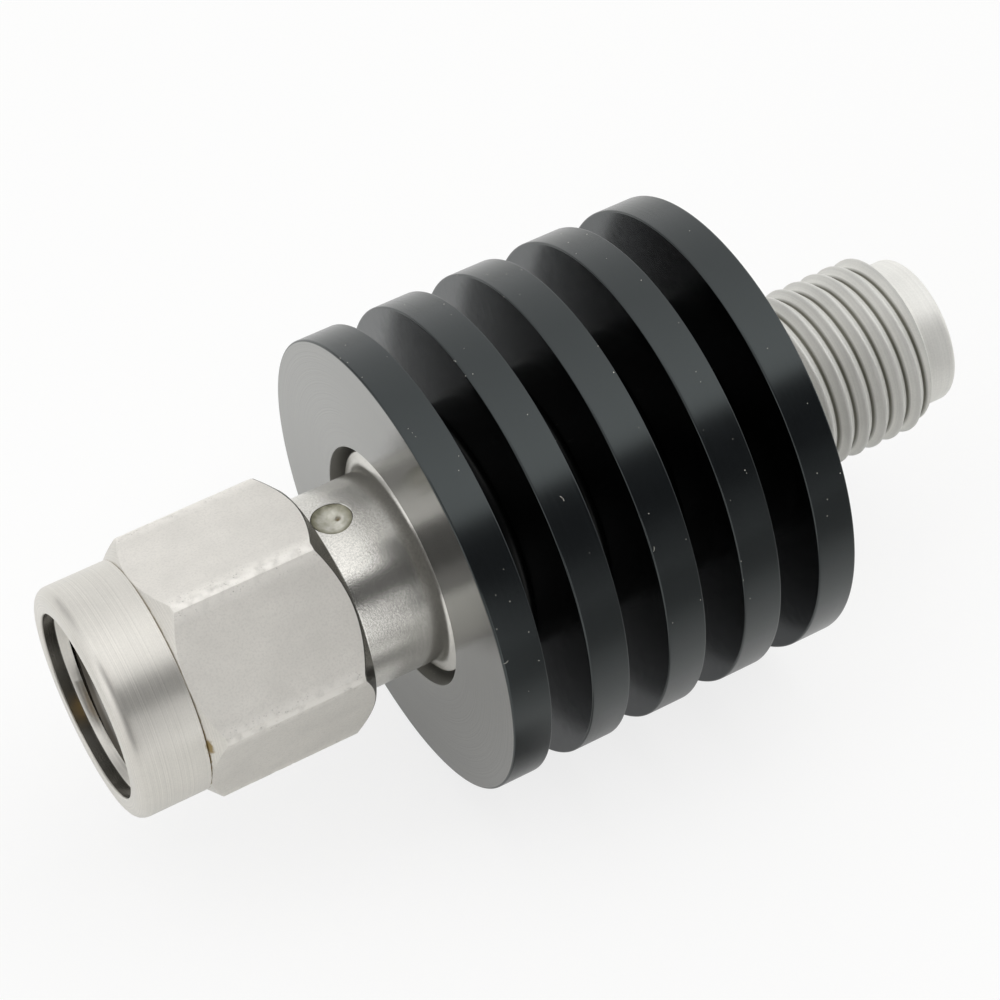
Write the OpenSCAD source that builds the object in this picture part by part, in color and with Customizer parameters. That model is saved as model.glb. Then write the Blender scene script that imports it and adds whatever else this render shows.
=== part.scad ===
// Coaxial fixed attenuator: a finned heat sink between a threaded plug and a threaded jack.
// It lies on its fins with the line's axis along X, the plug at -X and the jack at +X.

/* [Heat sink] */
// Number of cooling fins
fin_count = 5; // [4:1:9]
// Outside diameter of the fins
fin_d = 16; // [13:0.5:24]
// Thickness of one fin
fin_t = 1.4; // [1:0.1:2.2]
// Open gap between two fins
fin_gap = 1.45; // [1:0.05:2.5]
// Diameter of the core under the fins
core_d = 8.7; // [8.4:0.1:12]
// Chamfer on the turned edges of the fins
fin_edge = 0.12; // [0.05:0.01:0.3]
// Diameter of the round recess in each end face
recess_d = 8.5; // [8.1:0.05:9.2]
// Diameter of the through bore between the recesses
bore_d = 6.5; // [5.6:0.1:7]

/* [Coupling nut] */
// Width across the flats of the hexagon
nut_flats = 7.94; // [7.6:0.02:9.5]
// Diameter of the round skirt in front of the hexagon
skirt_d = 8; // [7.4:0.05:9]
// Length of the round skirt
skirt_len = 2.45; // [1:0.05:4]
// Radius of the skirt's front edge
skirt_round = 0.4; // [0.1:0.05:0.6]
// Axial length of the cone at the front of the hexagon
hex_front_chamfer = 0.55; // [0.2:0.05:1]
// Axial length of the cone at the rear of the hexagon
hex_rear_chamfer = 0.55; // [0.2:0.05:1]
// How far the hexagon's corners are turned down
hex_corner_break = 0.035; // [0.01:0.005:0.1]
// Angle of one corner from +Y towards +Z
nut_turn = 43; // [0:1:60]
// Depth of the plain lead-in at the mouth
mouth_depth = 0.46; // [0.2:0.02:1]
// Length of the internal thread
thread_len = 3.95; // [2.5:0.05:6]
// Thread-free length between the internal thread and the gasket
thread_runout = 0.4; // [0.2:0.05:1.5]
// Length of the rear lip that the snap ring pulls on
lip_len = 1.3; // [0.6:0.05:2]
// Diameter of the rear lip's bore
lip_bore_d = 6.24; // [5.9:0.02:6.5]
// Radial height by which the lip catches the snap ring
lip_catch = 0.24; // [0.15:0.01:0.3]
// Room from the heat sink's face to the nut's rear face
nut_standoff = 2.7; // [2.6:0.05:6]

/* [Plug] */
// Diameter of the neck between the nut and the heat sink
neck_d = 6.74; // [6.4:0.02:7.2]
// Radius of the fillet from the neck to the flange
neck_fillet = 0.45; // [0.1:0.05:0.6]
// Depth of the flange faces below the heat sink's end faces
flange_sink = 0.4; // [0.2:0.05:0.8]
// Thickness of the flanges
flange_t = 0.5; // [0.3:0.05:0.7]
// Diameter of the bore for the insulators
line_d = 4.1; // [3.7:0.02:4.2]
// Wall of the spigot in front of the gasket
spigot_wall = 0.23; // [0.15:0.01:0.3]
// Length of the spigot in front of the gasket
spigot_len = 1.95; // [1:0.05:3]
// Step from the spigot up to the land under the gasket
land_step = 0.18; // [0.05:0.01:0.2]
// Thickness of the gasket
gasket_t = 0.8; // [0.4:0.05:1.2]
// Length of the collar between the gasket and the snap ring
collar_len = 0.5; // [0.3:0.05:1.2]
// Axial width of the snap ring
ring_t = 0.5; // [0.3:0.05:0.8]
// Radial width of the snap ring
ring_wall = 0.5; // [0.3:0.02:0.52]
// Width of the cut through the snap ring
ring_cut = 0.9; // [0.3:0.1:2]
// Depth of the snap ring's groove
groove_depth = 0.56; // [0.5:0.02:0.6]
// Diameter of the filled hole in the neck
fill_d = 1.35; // [0.6:0.05:1.4]
// Distance of the filled hole from the heat sink's face
fill_set = 1.84; // [1.2:0.01:1.9]
// Angle of the filled hole from +Y towards +Z
fill_turn = 83; // [0:1:180]
// Depth of the hollow in the resin's top
fill_hollow = 0.16; // [0.05:0.01:0.3]
// Width of the flat rim round the hollow
fill_rim = 0.06; // [0.02:0.01:0.15]

/* [Centre line] */
// Diameter of the plug's mating pin
pin_d = 0.91; // [0.7:0.01:1.1]
// Reach of the pin past the end of the spigot
pin_reach = 2.4; // [1.5:0.05:3]
// Length of the pin's tapered tip
pin_tip = 0.4; // [0.2:0.05:0.8]
// Wall of the jack's spring contact
contact_wall = 0.16; // [0.1:0.01:0.25]
// Depth of the spring contact's bore
contact_depth = 2.6; // [2.2:0.1:3.5]
// Width of the slots between the spring fingers
finger_slot = 0.15; // [0.1:0.01:0.2]
// Length of the slots between the spring fingers
finger_len = 2; // [1:0.1:2.1]
// Diameter of the collar behind each insulator
stop_d = 1.9; // [1.6:0.1:2.4]
// Thickness of the collar behind each insulator
stop_t = 0.5; // [0.3:0.05:0.6]
// Diameter of the forked tails that grip the card
tail_d = 1.4; // [1.2:0.05:1.6]

/* [Jack] */
// Reach of the jack past the heat sink's face
jack_reach = 7.88; // [6.5:0.02:12]
// Outside diameter of the connector thread
thread_d = 6.3; // [6:0.02:6.34]
// Depth from the thread's crest to the nut's inner crest
thread_depth = 0.29; // [0.2:0.01:0.35]
// Diameter of the plain nose in front of the thread
nose_d = 5.24; // [5.1:0.02:5.4]
// Length of the plain nose
nose_len = 1.1; // [0.5:0.05:2]
// Radius of the nose's outer edge
nose_round = 0.2; // [0.05:0.01:0.22]
// Depth of the socket
socket_depth = 1.93; // [1.5:0.01:2.5]
// Diameter of the relief behind the thread
relief_d = 5.4; // [5:0.02:5.8]
// Distance from the heat sink's face to the start of the thread
relief_len = 0.9; // [0.4:0.05:2]

/* [Attenuator card] */
// Thickness of the ceramic card
card_t = 0.5; // [0.25:0.05:0.7]
// Width of the ceramic card
card_w = 4.4; // [3.4:0.1:5]
// Axial room for the card between the two bodies
card_room = 5.2; // [3:0.1:6.5]
// Length of card gripped by each tail
card_grip = 0.8; // [0.4:0.05:1.2]
// Width of the channel along the carriers
channel_w = 2.6; // [2:0.1:3]
// Height of the channel above the middle of the card
channel_h = 1.5; // [1:0.1:2]

/* [Fits] */
// Radial running clearance of the nut on its journal
run_clear = 0.06; // [0.02:0.01:0.08]
// Radial clearance of pieces that seat in each other
seat_clear = 0.02; // [0.01:0.005:0.03]
// Axial play at faces that only locate
end_play = 0.05; // [0.02:0.01:0.1]
// Radial clearance around the flanges
flange_gap = 0.3; // [0.1:0.05:0.4]
// Radial clearance around the snap ring
ring_gap = 0.08; // [0.03:0.01:0.1]
// Radial clearance around the gasket
gasket_gap = 0.16; // [0.05:0.01:0.4]
// Radial clearance of the lead-in over the thread
mouth_gap = 0.05; // [0.02:0.01:0.2]
// Radial clearance of a mating spigot in the socket
socket_gap = 0.03; // [0.01:0.01:0.06]
// Radial clearance of a mating pin in the spring contact
contact_gap = 0.02; // [0.01:0.005:0.03]
// Small chamfer on the connectors' turned edges
edge = 0.1; // [0.03:0.01:0.12]

/* [Hidden] */
$fn = 96;
// Overlap of a cut past the face that it opens
cut = 0.2;
// Segments in a small fillet's profile
fillet_steps = 6;

// Radii of the heat sink and of the bodies in it
fin_r = fin_d / 2;
core_r = core_d / 2;
recess_r = recess_d / 2;
bore_r = bore_d / 2;
flange_r = recess_r - flange_gap;
shank_r = bore_r - seat_clear;
neck_r = neck_d / 2;
line_r = line_d / 2;

// Radii of the mating faces
spigot_r = line_r + spigot_wall;
land_r = spigot_r + land_step;
socket_r = spigot_r + socket_gap;
thread_r = thread_d / 2;
inner_crest_r = thread_r - thread_depth;
mouth_r = thread_r + mouth_gap;
nose_r = nose_d / 2;
relief_r = relief_d / 2;

// Radii of the nut's captive end
lip_r = lip_bore_d / 2;
chamber_r = lip_r + lip_catch;
journal_r = lip_r - run_clear;
groove_r = journal_r - groove_depth;
ring_r = chamber_r - ring_gap;
gasket_r = chamber_r - gasket_gap;
skirt_r = skirt_d / 2;
hex_in_r = nut_flats / 2;
hex_corner_r = hex_in_r / cos(30) - hex_corner_break;
hex_end_r = hex_in_r - hex_corner_break;

// Radii of the centre line
pin_r = pin_d / 2;
contact_bore_r = pin_r + contact_gap;
contact_r = contact_bore_r + contact_wall;
stop_r = stop_d / 2;
tail_r = tail_d / 2;
insulator_r = line_r - seat_clear;
insulator_bore_r = contact_r + seat_clear;
fill_r = fill_d / 2;

// Stations along the axis, counted from the heat sink's plug face towards the jack
fin_pitch = fin_t + fin_gap;
stack_len = fin_count * fin_pitch - fin_gap;
recess_depth = flange_sink + flange_t;
plug_shank_end = (stack_len - card_room) / 2;
jack_shank_end = (stack_len + card_room) / 2;
nut_rear = -nut_standoff;
shoulder = nut_rear + 2 * end_play;
lip_front = nut_rear - lip_len;
ring_rear = lip_front - end_play;
ring_front = ring_rear - ring_t;
groove_rear = ring_rear + end_play;
groove_front = ring_front - end_play;
gasket_seat = groove_front - collar_len;
gasket_front = gasket_seat - gasket_t;
plug_face = gasket_front - spigot_len;
chamber_front = gasket_front - thread_runout;
mouth_cone = mouth_r - inner_crest_r;
nut_len = nut_rear - chamber_front + thread_len + mouth_cone + mouth_depth;
nut_front = nut_rear - nut_len;
jack_flange = stack_len - flange_sink;
jack_end = stack_len + jack_reach;
jack_face = jack_end - socket_depth;
thread_start = stack_len + relief_len;
nose_start = jack_end - nose_len;
card_start = plug_shank_end + end_play;
card_len = card_room - 2 * end_play;

// Place of the axis: the part rests on its fins, centred along X
axis_x = -(nut_front + jack_end) / 2;
axis_z = fin_r;

// Points of an arc about a centre, from one angle to another
function arc(x, y, r, from, to) =
    [for (i = [0:fillet_steps]) [x + r * cos(from + (to - from) * i / fillet_steps),
                                 y + r * sin(from + (to - from) * i / fillet_steps)]];

// Section of one fin with its turned edges, and of the core on its inner sides
function fin_section(i) =
    let (z = i * fin_pitch)
    concat(
        i > 0 ? [[core_r, z]] : [],
        [[fin_r - fin_edge, z], [fin_r, z + fin_edge],
         [fin_r, z + fin_t - fin_edge], [fin_r - fin_edge, z + fin_t]],
        i < fin_count - 1 ? [[core_r, z + fin_t]] : []);

// Lays a shape built along Z on the part's axis
module on_axis() {
    translate([axis_x, 0, axis_z])
        rotate([0, 90, 0])
            children();
}

// Turns an outline of [radius, station] points about the axis
module turned(outline) {
    rotate_extrude()
        polygon(outline);
}

// Round bar from the axis straight out through the neck's filled hole
module fill_bar(radius, from, to) {
    translate([0, 0, -fill_set])
        rotate([0, 0, fill_turn + 90])
            rotate([0, 90, 0])
                translate([0, 0, from])
                    cylinder(r = radius, h = to - from);
}

// Slot across the axis that takes the card's edge
module card_slot(from, to) {
    slot = card_t + 2 * seat_clear;
    translate([-slot / 2, -stop_r, from])
        cube([slot, 2 * stop_r, to - from]);
}

// Black finned sleeve turned from one bar
module heat_sink() {
    color("#2a2c2f")
        on_axis()
            turned(concat(
                [for (i = [0:fin_count - 1]) each fin_section(i)],
                [[recess_r, stack_len], [recess_r, stack_len - recess_depth],
                 [bore_r, stack_len - recess_depth], [bore_r, recess_depth],
                 [recess_r, recess_depth], [recess_r, 0]]));
}

// Round skirt with its rounded front edge
module nut_skirt() {
    turned(concat(
        [[0, nut_front]],
        arc(skirt_r - skirt_round, nut_front + skirt_round, skirt_round, -90, 0),
        [[skirt_r, nut_front + skirt_len], [0, nut_front + skirt_len]]));
}

// Hexagon bar turned to a cone at each end
module nut_hexagon() {
    hex_front = nut_front + skirt_len;
    intersection() {
        rotate([0, 0, nut_turn + 90])
            translate([0, 0, hex_front])
                cylinder(r = hex_in_r / cos(30), h = nut_rear - hex_front, $fn = 6);
        turned([
            [0, hex_front], [hex_end_r, hex_front], [hex_corner_r, hex_front + hex_front_chamfer],
            [hex_corner_r, nut_rear - hex_rear_chamfer], [hex_end_r, nut_rear], [0, nut_rear]]);
    }
}

// Stepped hole: lead-in, thread, chamber for the gasket and ring, and the rear lip
module nut_hole() {
    thread_front = nut_front + mouth_depth + mouth_cone;
    chamber_cone = chamber_r - inner_crest_r;
    turned([
        [0, nut_front - cut], [mouth_r + edge + cut, nut_front - cut], [mouth_r, nut_front + edge],
        [mouth_r, nut_front + mouth_depth], [inner_crest_r, thread_front],
        [inner_crest_r, chamber_front - chamber_cone / 2], [chamber_r, chamber_front],
        [chamber_r, lip_front], [lip_r, lip_front], [lip_r, nut_rear + cut], [0, nut_rear + cut]]);
}

// Captive nut that draws the plug onto a jack
module coupling_nut() {
    color("#d6d3cc")
        on_axis()
            difference() {
                union() {
                    nut_skirt();
                    nut_hexagon();
                }
                nut_hole();
            }
}

// Open ring that holds the nut on the plug
module snap_ring() {
    color("#b5b2aa")
        on_axis()
            difference() {
                turned([[ring_r - ring_wall, ring_front], [ring_r, ring_front],
                        [ring_r, ring_rear], [ring_r - ring_wall, ring_rear]]);
                translate([0, -ring_cut / 2, ring_front - cut])
                    cube([ring_r + cut, ring_cut, ring_t + 2 * cut]);
            }
}

// Soft seal that a jack's front edge presses on
module gasket() {
    color("#c65a3a")
        on_axis()
            turned([[land_r + seat_clear, gasket_front], [gasket_r, gasket_front],
                    [gasket_r, gasket_seat], [land_r + seat_clear, gasket_seat]]);
}

// Turned body of the plug: spigot, gasket land, ring groove, journal, neck, flange and shank
module plug_body() {
    fillet = min(neck_fillet, flange_r - neck_r - edge);
    color("#bcb9b1")
        on_axis()
            difference() {
                turned(concat(
                    [[line_r, plug_face], [spigot_r - edge, plug_face], [spigot_r, plug_face + edge],
                     [spigot_r, gasket_front], [land_r, gasket_front], [land_r, gasket_seat],
                     [journal_r, gasket_seat], [journal_r, groove_front], [groove_r, groove_front],
                     [groove_r, groove_rear], [journal_r, groove_rear], [journal_r, shoulder],
                     [neck_r - edge, shoulder], [neck_r, shoulder + edge]],
                    arc(neck_r + fillet, flange_sink - fillet, fillet, 180, 90),
                    [[flange_r - edge, flange_sink], [flange_r, flange_sink + edge],
                     [flange_r, recess_depth], [shank_r, recess_depth],
                     [shank_r, plug_shank_end], [line_r, plug_shank_end]]));
                fill_bar(fill_r, 0, neck_r + cut);
            }
}

// Insulator of the plug, bored across for the resin
module plug_insulator() {
    color("#f2f1ec")
        on_axis()
            difference() {
                turned([[insulator_bore_r, plug_face], [insulator_r, plug_face],
                        [insulator_r, plug_shank_end - stop_t], [insulator_bore_r, plug_shank_end - stop_t]]);
                fill_bar(fill_r, 0, line_r + cut);
            }
}

// Gilt centre pin with its stop collar and the fork that grips the card
module plug_pin() {
    tip = plug_face - pin_reach;
    tip_r = pin_r - pin_tip / 2;
    tail_end = card_start + card_grip;
    color("#d2a857")
        on_axis()
            difference() {
                turned([
                    [0, tip], [max(tip_r, edge), tip], [pin_r, tip + pin_tip], [pin_r, plug_face],
                    [contact_r, plug_face], [contact_r, plug_shank_end - stop_t],
                    [stop_r, plug_shank_end - stop_t], [stop_r, plug_shank_end],
                    [tail_r, plug_shank_end], [tail_r, tail_end], [0, tail_end]]);
                card_slot(plug_shank_end, tail_end + cut);
            }
}

// Cured resin that locks the insulator through the neck's hole, hollow at the top
module captivation_resin() {
    radius = fill_r - seat_clear;
    top = neck_r - fill_hollow / 2;
    hollow_w = radius - fill_rim;
    hollow_r = (hollow_w * hollow_w + fill_hollow * fill_hollow) / (2 * fill_hollow);
    color("#c9c39a")
        on_axis()
            difference() {
                fill_bar(radius, insulator_bore_r, top);
                translate([0, 0, -fill_set])
                    rotate([0, 0, fill_turn + 90])
                        translate([top - fill_hollow + hollow_r, 0, 0])
                            sphere(r = hollow_r);
            }
}

// Turned body of the jack: shank, flange, relief, thread, nose and socket
module jack_body() {
    thread_step = thread_r - relief_r;
    nose_step = thread_r - nose_r;
    color("#c4c2ba")
        on_axis()
            turned(concat(
                [[line_r, jack_shank_end], [shank_r, jack_shank_end],
                 [shank_r, stack_len - recess_depth], [flange_r, stack_len - recess_depth],
                 [flange_r, jack_flange - edge], [flange_r - edge, jack_flange],
                 [relief_r, jack_flange], [relief_r, thread_start - thread_step / 2],
                 [thread_r, thread_start], [thread_r, nose_start - nose_step / 2],
                 [nose_r, nose_start]],
                arc(nose_r - nose_round, jack_end - nose_round, nose_round, 0, 90),
                [[socket_r + edge / 2, jack_end], [socket_r, jack_end - edge / 2],
                 [socket_r, jack_face], [line_r, jack_face]]));
}

// Insulator of the jack
module jack_insulator() {
    color("#f2f1ec")
        on_axis()
            turned([[insulator_bore_r, jack_shank_end + stop_t], [insulator_r, jack_shank_end + stop_t],
                    [insulator_r, jack_face], [insulator_bore_r, jack_face]]);
}

// Gilt spring contact: four fingers in front, a stop collar and the fork that grips the card
module jack_contact() {
    tail_end = card_start + card_len - card_grip;
    color("#d2a857")
        on_axis()
            difference() {
                turned([
                    [0, tail_end], [tail_r, tail_end], [tail_r, jack_shank_end],
                    [stop_r, jack_shank_end], [stop_r, jack_shank_end + stop_t],
                    [contact_r, jack_shank_end + stop_t], [contact_r, jack_face],
                    [contact_bore_r, jack_face], [contact_bore_r, jack_face - contact_depth],
                    [0, jack_face - contact_depth]]);
                card_slot(tail_end - cut, jack_shank_end);
                for (turn = [45, 135])
                    rotate([0, 0, turn])
                        translate([-contact_r - cut, -finger_slot / 2, jack_face - finger_len])
                            cube([2 * (contact_r + cut), finger_slot, finger_len + cut]);
            }
}

// Ceramic card that carries the resistor film
module attenuator_card() {
    color("#e8e4da")
        on_axis()
            translate([-card_t / 2, -card_w / 2, card_start])
                cube([card_t, card_w, card_len]);
}

// Half sleeve that clamps the card's long edges, on one side of the card
module carrier(side) {
    outer_r = bore_r - seat_clear;
    rebate_w = card_w + 2 * seat_clear;
    rebate_h = card_t / 2 + seat_clear;
    on_axis()
        mirror([side, 0, 0])
            translate([0, 0, card_start])
                difference() {
                    cylinder(r = outer_r, h = card_len);
                    translate([-outer_r - cut, -outer_r - cut, -cut])
                        cube([outer_r + cut + seat_clear / 2, 2 * (outer_r + cut), card_len + 2 * cut]);
                    translate([0, -rebate_w / 2, -cut])
                        cube([rebate_h, rebate_w, card_len + 2 * cut]);
                    translate([0, -channel_w / 2, -cut])
                        cube([channel_h, channel_w, card_len + 2 * cut]);
                }
}

// Half sleeve above the card
module upper_carrier() {
    color("#b8893f")
        carrier(1);
}

// Half sleeve below the card
module lower_carrier() {
    color("#b8893f")
        carrier(0);
}

heat_sink();
coupling_nut();
snap_ring();
gasket();
plug_body();
plug_insulator();
plug_pin();
captivation_resin();
jack_body();
jack_insulator();
jack_contact();
attenuator_card();
upper_carrier();
lower_carrier();
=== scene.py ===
"""Coaxial attenuator: its threads, finishes and wear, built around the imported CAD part.

Lengths are metres in the CAD frame, and the defaults are written in millimetres times MM.
Stations are counted along the line's axis, +X, from the heat sink's plug face.
"""
import math

import bmesh
import bpy
import numpy as np
from mathutils import Matrix, Vector


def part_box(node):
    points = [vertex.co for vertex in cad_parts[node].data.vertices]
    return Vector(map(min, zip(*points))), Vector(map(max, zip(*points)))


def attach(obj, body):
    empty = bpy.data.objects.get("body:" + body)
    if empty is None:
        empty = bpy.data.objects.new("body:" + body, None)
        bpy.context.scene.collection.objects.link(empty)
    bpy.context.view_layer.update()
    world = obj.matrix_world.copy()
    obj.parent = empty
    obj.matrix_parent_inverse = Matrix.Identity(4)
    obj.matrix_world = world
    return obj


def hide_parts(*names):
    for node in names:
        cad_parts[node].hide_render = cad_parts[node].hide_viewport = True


bl_info = {
    "name": "Coaxial Attenuator",
    "version": (1, 0, 0),
    "blender": (4, 5, 0),
    "location": "View3D > Sidebar > Attenuator",
    "description": "Builds the visible pieces of a finned coaxial attenuator around its CAD frame",
    "category": "Object",
}

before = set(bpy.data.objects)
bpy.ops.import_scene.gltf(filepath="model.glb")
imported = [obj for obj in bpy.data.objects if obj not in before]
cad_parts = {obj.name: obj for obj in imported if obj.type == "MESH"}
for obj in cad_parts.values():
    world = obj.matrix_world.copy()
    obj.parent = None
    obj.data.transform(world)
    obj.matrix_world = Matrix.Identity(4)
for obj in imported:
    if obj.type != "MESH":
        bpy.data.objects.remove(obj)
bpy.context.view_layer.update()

MM = 0.001
# Vertices closer than this are one vertex
WELD = 1e-4 * MM
# A place this close to a face counts as on it
NEAR = 0.01 * MM
# Turns a stretched reflection across the tool's path
QUARTER_TURN = 0.25
BLACK, WHITE = (0.0, 0.0, 0.0), (1.0, 1.0, 1.0)
# Roundings of the small turned edges
KEEN, FINE, BROKEN, SOFT, WIDE = 0.02 * MM, 0.03 * MM, 0.04 * MM, 0.05 * MM, 0.06 * MM
# How far a cutter stands out of what it cuts
OVERRUN = 1 * MM

SINK_LOW, SINK_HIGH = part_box("heat_sink")
NUT_LOW, NUT_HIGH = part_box("coupling_nut")
PLUG_LOW, PLUG_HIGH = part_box("plug_body")
JACK_LOW, JACK_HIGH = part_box("jack_body")
PIN_LOW, PIN_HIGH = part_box("plug_pin")
CONTACT_LOW, CONTACT_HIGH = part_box("jack_contact")
GASKET_LOW, GASKET_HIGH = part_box("gasket")

# Station 0, the height of the line's axis and the length over the fins
FACE_X = SINK_LOW.x
AXIS_Z = (SINK_LOW.z + SINK_HIGH.z) / 2
STACK = SINK_HIGH.x - SINK_LOW.x
FIN_R = (SINK_HIGH.z - SINK_LOW.z) / 2


def linear(hex_colour):
    """An sRGB hex colour as a linear RGB triple."""
    parts = [int(hex_colour[i:i + 2], 16) / 255 for i in (1, 3, 5)]
    return tuple(c / 12.92 if c <= 0.04045 else ((c + 0.055) / 1.055) ** 2.4 for c in parts)


def length(name, description, mm):
    """A property for a length, with its default in millimetres."""
    return bpy.props.FloatProperty(
        name=name, description=description, default=mm * MM, min=0, unit="LENGTH", precision=6)


def colour(name, description, hex_colour):
    """A property for a colour, with its default as sRGB hex."""
    return bpy.props.FloatVectorProperty(
        name=name, description=description, default=linear(hex_colour), min=0, max=1, subtype="COLOR")


class SinkSizes(bpy.types.PropertyGroup):
    """Sizes of the finned heat sink"""

    fins: bpy.props.IntProperty(name="Fins", description="Number of fins", default=5, min=2)
    fin_t: length("Fin thickness", "Thickness of one fin", 1.4)
    core_d: length("Core", "Diameter of the core under the fins", 8.7)
    recess_d: length("Recess", "Diameter of the round recess in each end", 8.5)
    recess_depth: length("Recess depth", "Depth of the round recess in each end", 0.9)
    bore_d: length("Bore", "Diameter of the through bore", 6.5)
    edge: length("Edge", "Rounding of the fins' edges", 0.06)
    root: length("Root", "Rounding where a fin meets the core", 0.15)
    lint: bpy.props.FloatProperty(
        name="Lint", description="Specks of lint on a square millimetre of rim", default=0.6, min=0)


class NutSizes(bpy.types.PropertyGroup):
    """Sizes of the coupling nut"""

    flats: length("Flats", "Width across the flats", 7.94)
    skirt_d: length("Skirt", "Diameter of the round skirt", 8.0)
    skirt_len: length("Skirt length", "Length of the round skirt", 2.45)
    skirt_round: length("Skirt rounding", "Rounding of the skirt's front edge", 0.4)
    front_cone: length("Front cone", "Length of the cone at the hexagon's front", 0.55)
    rear_cone: length("Rear cone", "Length of the cone at the hexagon's rear", 0.55)
    corner_break: length("Corner break", "How far the corners are turned down", 0.035)
    corner_wear: length("Corner wear", "How much further the corners are worn down", 0.04)
    corner_round: length("Corner rounding", "Rounding of the worn corners", 0.05)
    turn: bpy.props.FloatProperty(
        name="Turn", description="Angle of one corner from +Y towards +Z",
        default=math.radians(43), subtype="ANGLE")
    mouth_d: length("Mouth", "Diameter of the plain lead-in", 6.4)
    mouth_depth: length("Mouth depth", "Depth of the plain lead-in", 0.46)
    crest_d: length("Inner crest", "Diameter over the inner thread's crests", 5.72)
    thread_rear: length("Thread end", "Distance from the mouth to the end of the thread", 4.5)
    chamber_d: length("Chamber", "Diameter of the chamber behind the thread", 6.72)
    lip_d: length("Lip", "Diameter of the rear lip's bore", 6.24)
    lip_len: length("Lip length", "Length of the rear lip", 1.3)
    nick: length("Nick", "Depth of the deepest nick in a corner", 0.018)


class BodySizes(bpy.types.PropertyGroup):
    """Sizes of the plug's and the jack's bodies"""

    line_d: length("Line bore", "Diameter of the bore for the insulators", 4.1)
    shank_d: length("Shank", "Diameter of the shanks in the heat sink", 6.46)
    flange_d: length("Flange", "Diameter of the flanges", 7.9)
    flange_t: length("Flange thickness", "Thickness of the flanges", 0.5)
    spigot_d: length("Spigot", "Outside diameter of the plug's spigot", 4.56)
    land_d: length("Land", "Diameter of the land under the gasket", 4.92)
    journal_d: length("Journal", "Diameter of the journal that the nut runs on", 6.12)
    groove_d: length("Ring groove", "Diameter at the bottom of the ring's groove", 5.0)
    groove_w: length("Ring groove width", "Width of the ring's groove", 0.6)
    shoulder: length("Shoulder", "Distance of the neck's shoulder from the heat sink's face", 2.6)
    neck_d: length("Neck", "Diameter of the neck", 6.74)
    neck_fillet: length("Neck fillet", "Fillet from the neck to the flange", 0.25)
    flange_sink: length("Flange sink", "Depth of the flanges below the end faces", 0.4)
    relief_d: length("Relief", "Diameter of the relief behind the jack's thread", 5.4)
    relief_len: length("Relief length", "Distance from the end face to the thread", 0.9)
    nose_d: length("Nose", "Diameter of the jack's plain nose", 5.24)
    nose_len: length("Nose length", "Length of the jack's plain nose", 1.1)
    nose_round: length("Nose rounding", "Rounding of the nose's outer edge", 0.2)
    socket_d: length("Socket", "Diameter of the jack's socket", 4.62)
    socket_depth: length("Socket depth", "Depth of the jack's socket", 1.93)
    edge: length("Edge", "Chamfer on the turned edges", 0.1)
    fill_d: length("Filled hole", "Diameter of the filled hole in the neck", 1.35)
    fill_set: length("Filled hole place", "Distance of the filled hole from the end face", 1.84)
    fill_turn: bpy.props.FloatProperty(
        name="Filled hole turn", description="Angle of the filled hole from +Y towards +Z",
        default=math.radians(83), subtype="ANGLE")
    fill_hollow: length("Resin hollow", "Depth of the hollow in the resin", 0.26)


class ThreadSizes(bpy.types.PropertyGroup):
    """Sizes of the 36-turns-per-inch connector thread"""

    pitch: length("Pitch", "Advance in one turn", 0.7056)
    outer_d: length("Outside diameter", "Diameter over the jack's crests", 6.3)
    depth: length("Depth", "Depth of the jack's groove", 0.3)
    inner_depth: length("Inner depth", "Depth of the nut's groove", 0.27)
    run_out: length("Run-out", "Length over which the groove fades at its ends", 0.35)
    start: length("Start", "Offset of the groove along the axis", 0.12)


class ContactSizes(bpy.types.PropertyGroup):
    """Sizes of the gilt pin and the gilt spring contact"""

    pin_d: length("Pin", "Diameter of the plug's pin", 0.91)
    pin_tip: length("Pin tip", "Length of the pin's taper", 0.4)
    contact_d: length("Contact", "Outside diameter of the spring contact", 1.27)
    contact_bore_d: length("Contact bore", "Diameter of the contact's bore", 0.95)
    contact_depth: length("Contact depth", "Depth of the contact's bore", 2.6)
    finger_slot: length("Finger slot", "Width of the slots between the fingers", 0.15)
    finger_len: length("Finger length", "Length of the slots between the fingers", 2.0)
    stop_d: length("Stop", "Diameter of the stop collar", 1.9)
    stop_t: length("Stop thickness", "Thickness of the stop collar", 0.5)
    tail_d: length("Tail", "Diameter of the forked tail", 1.4)
    fork_slot: length("Fork slot", "Width of the fork that grips the card", 0.54)


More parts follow.
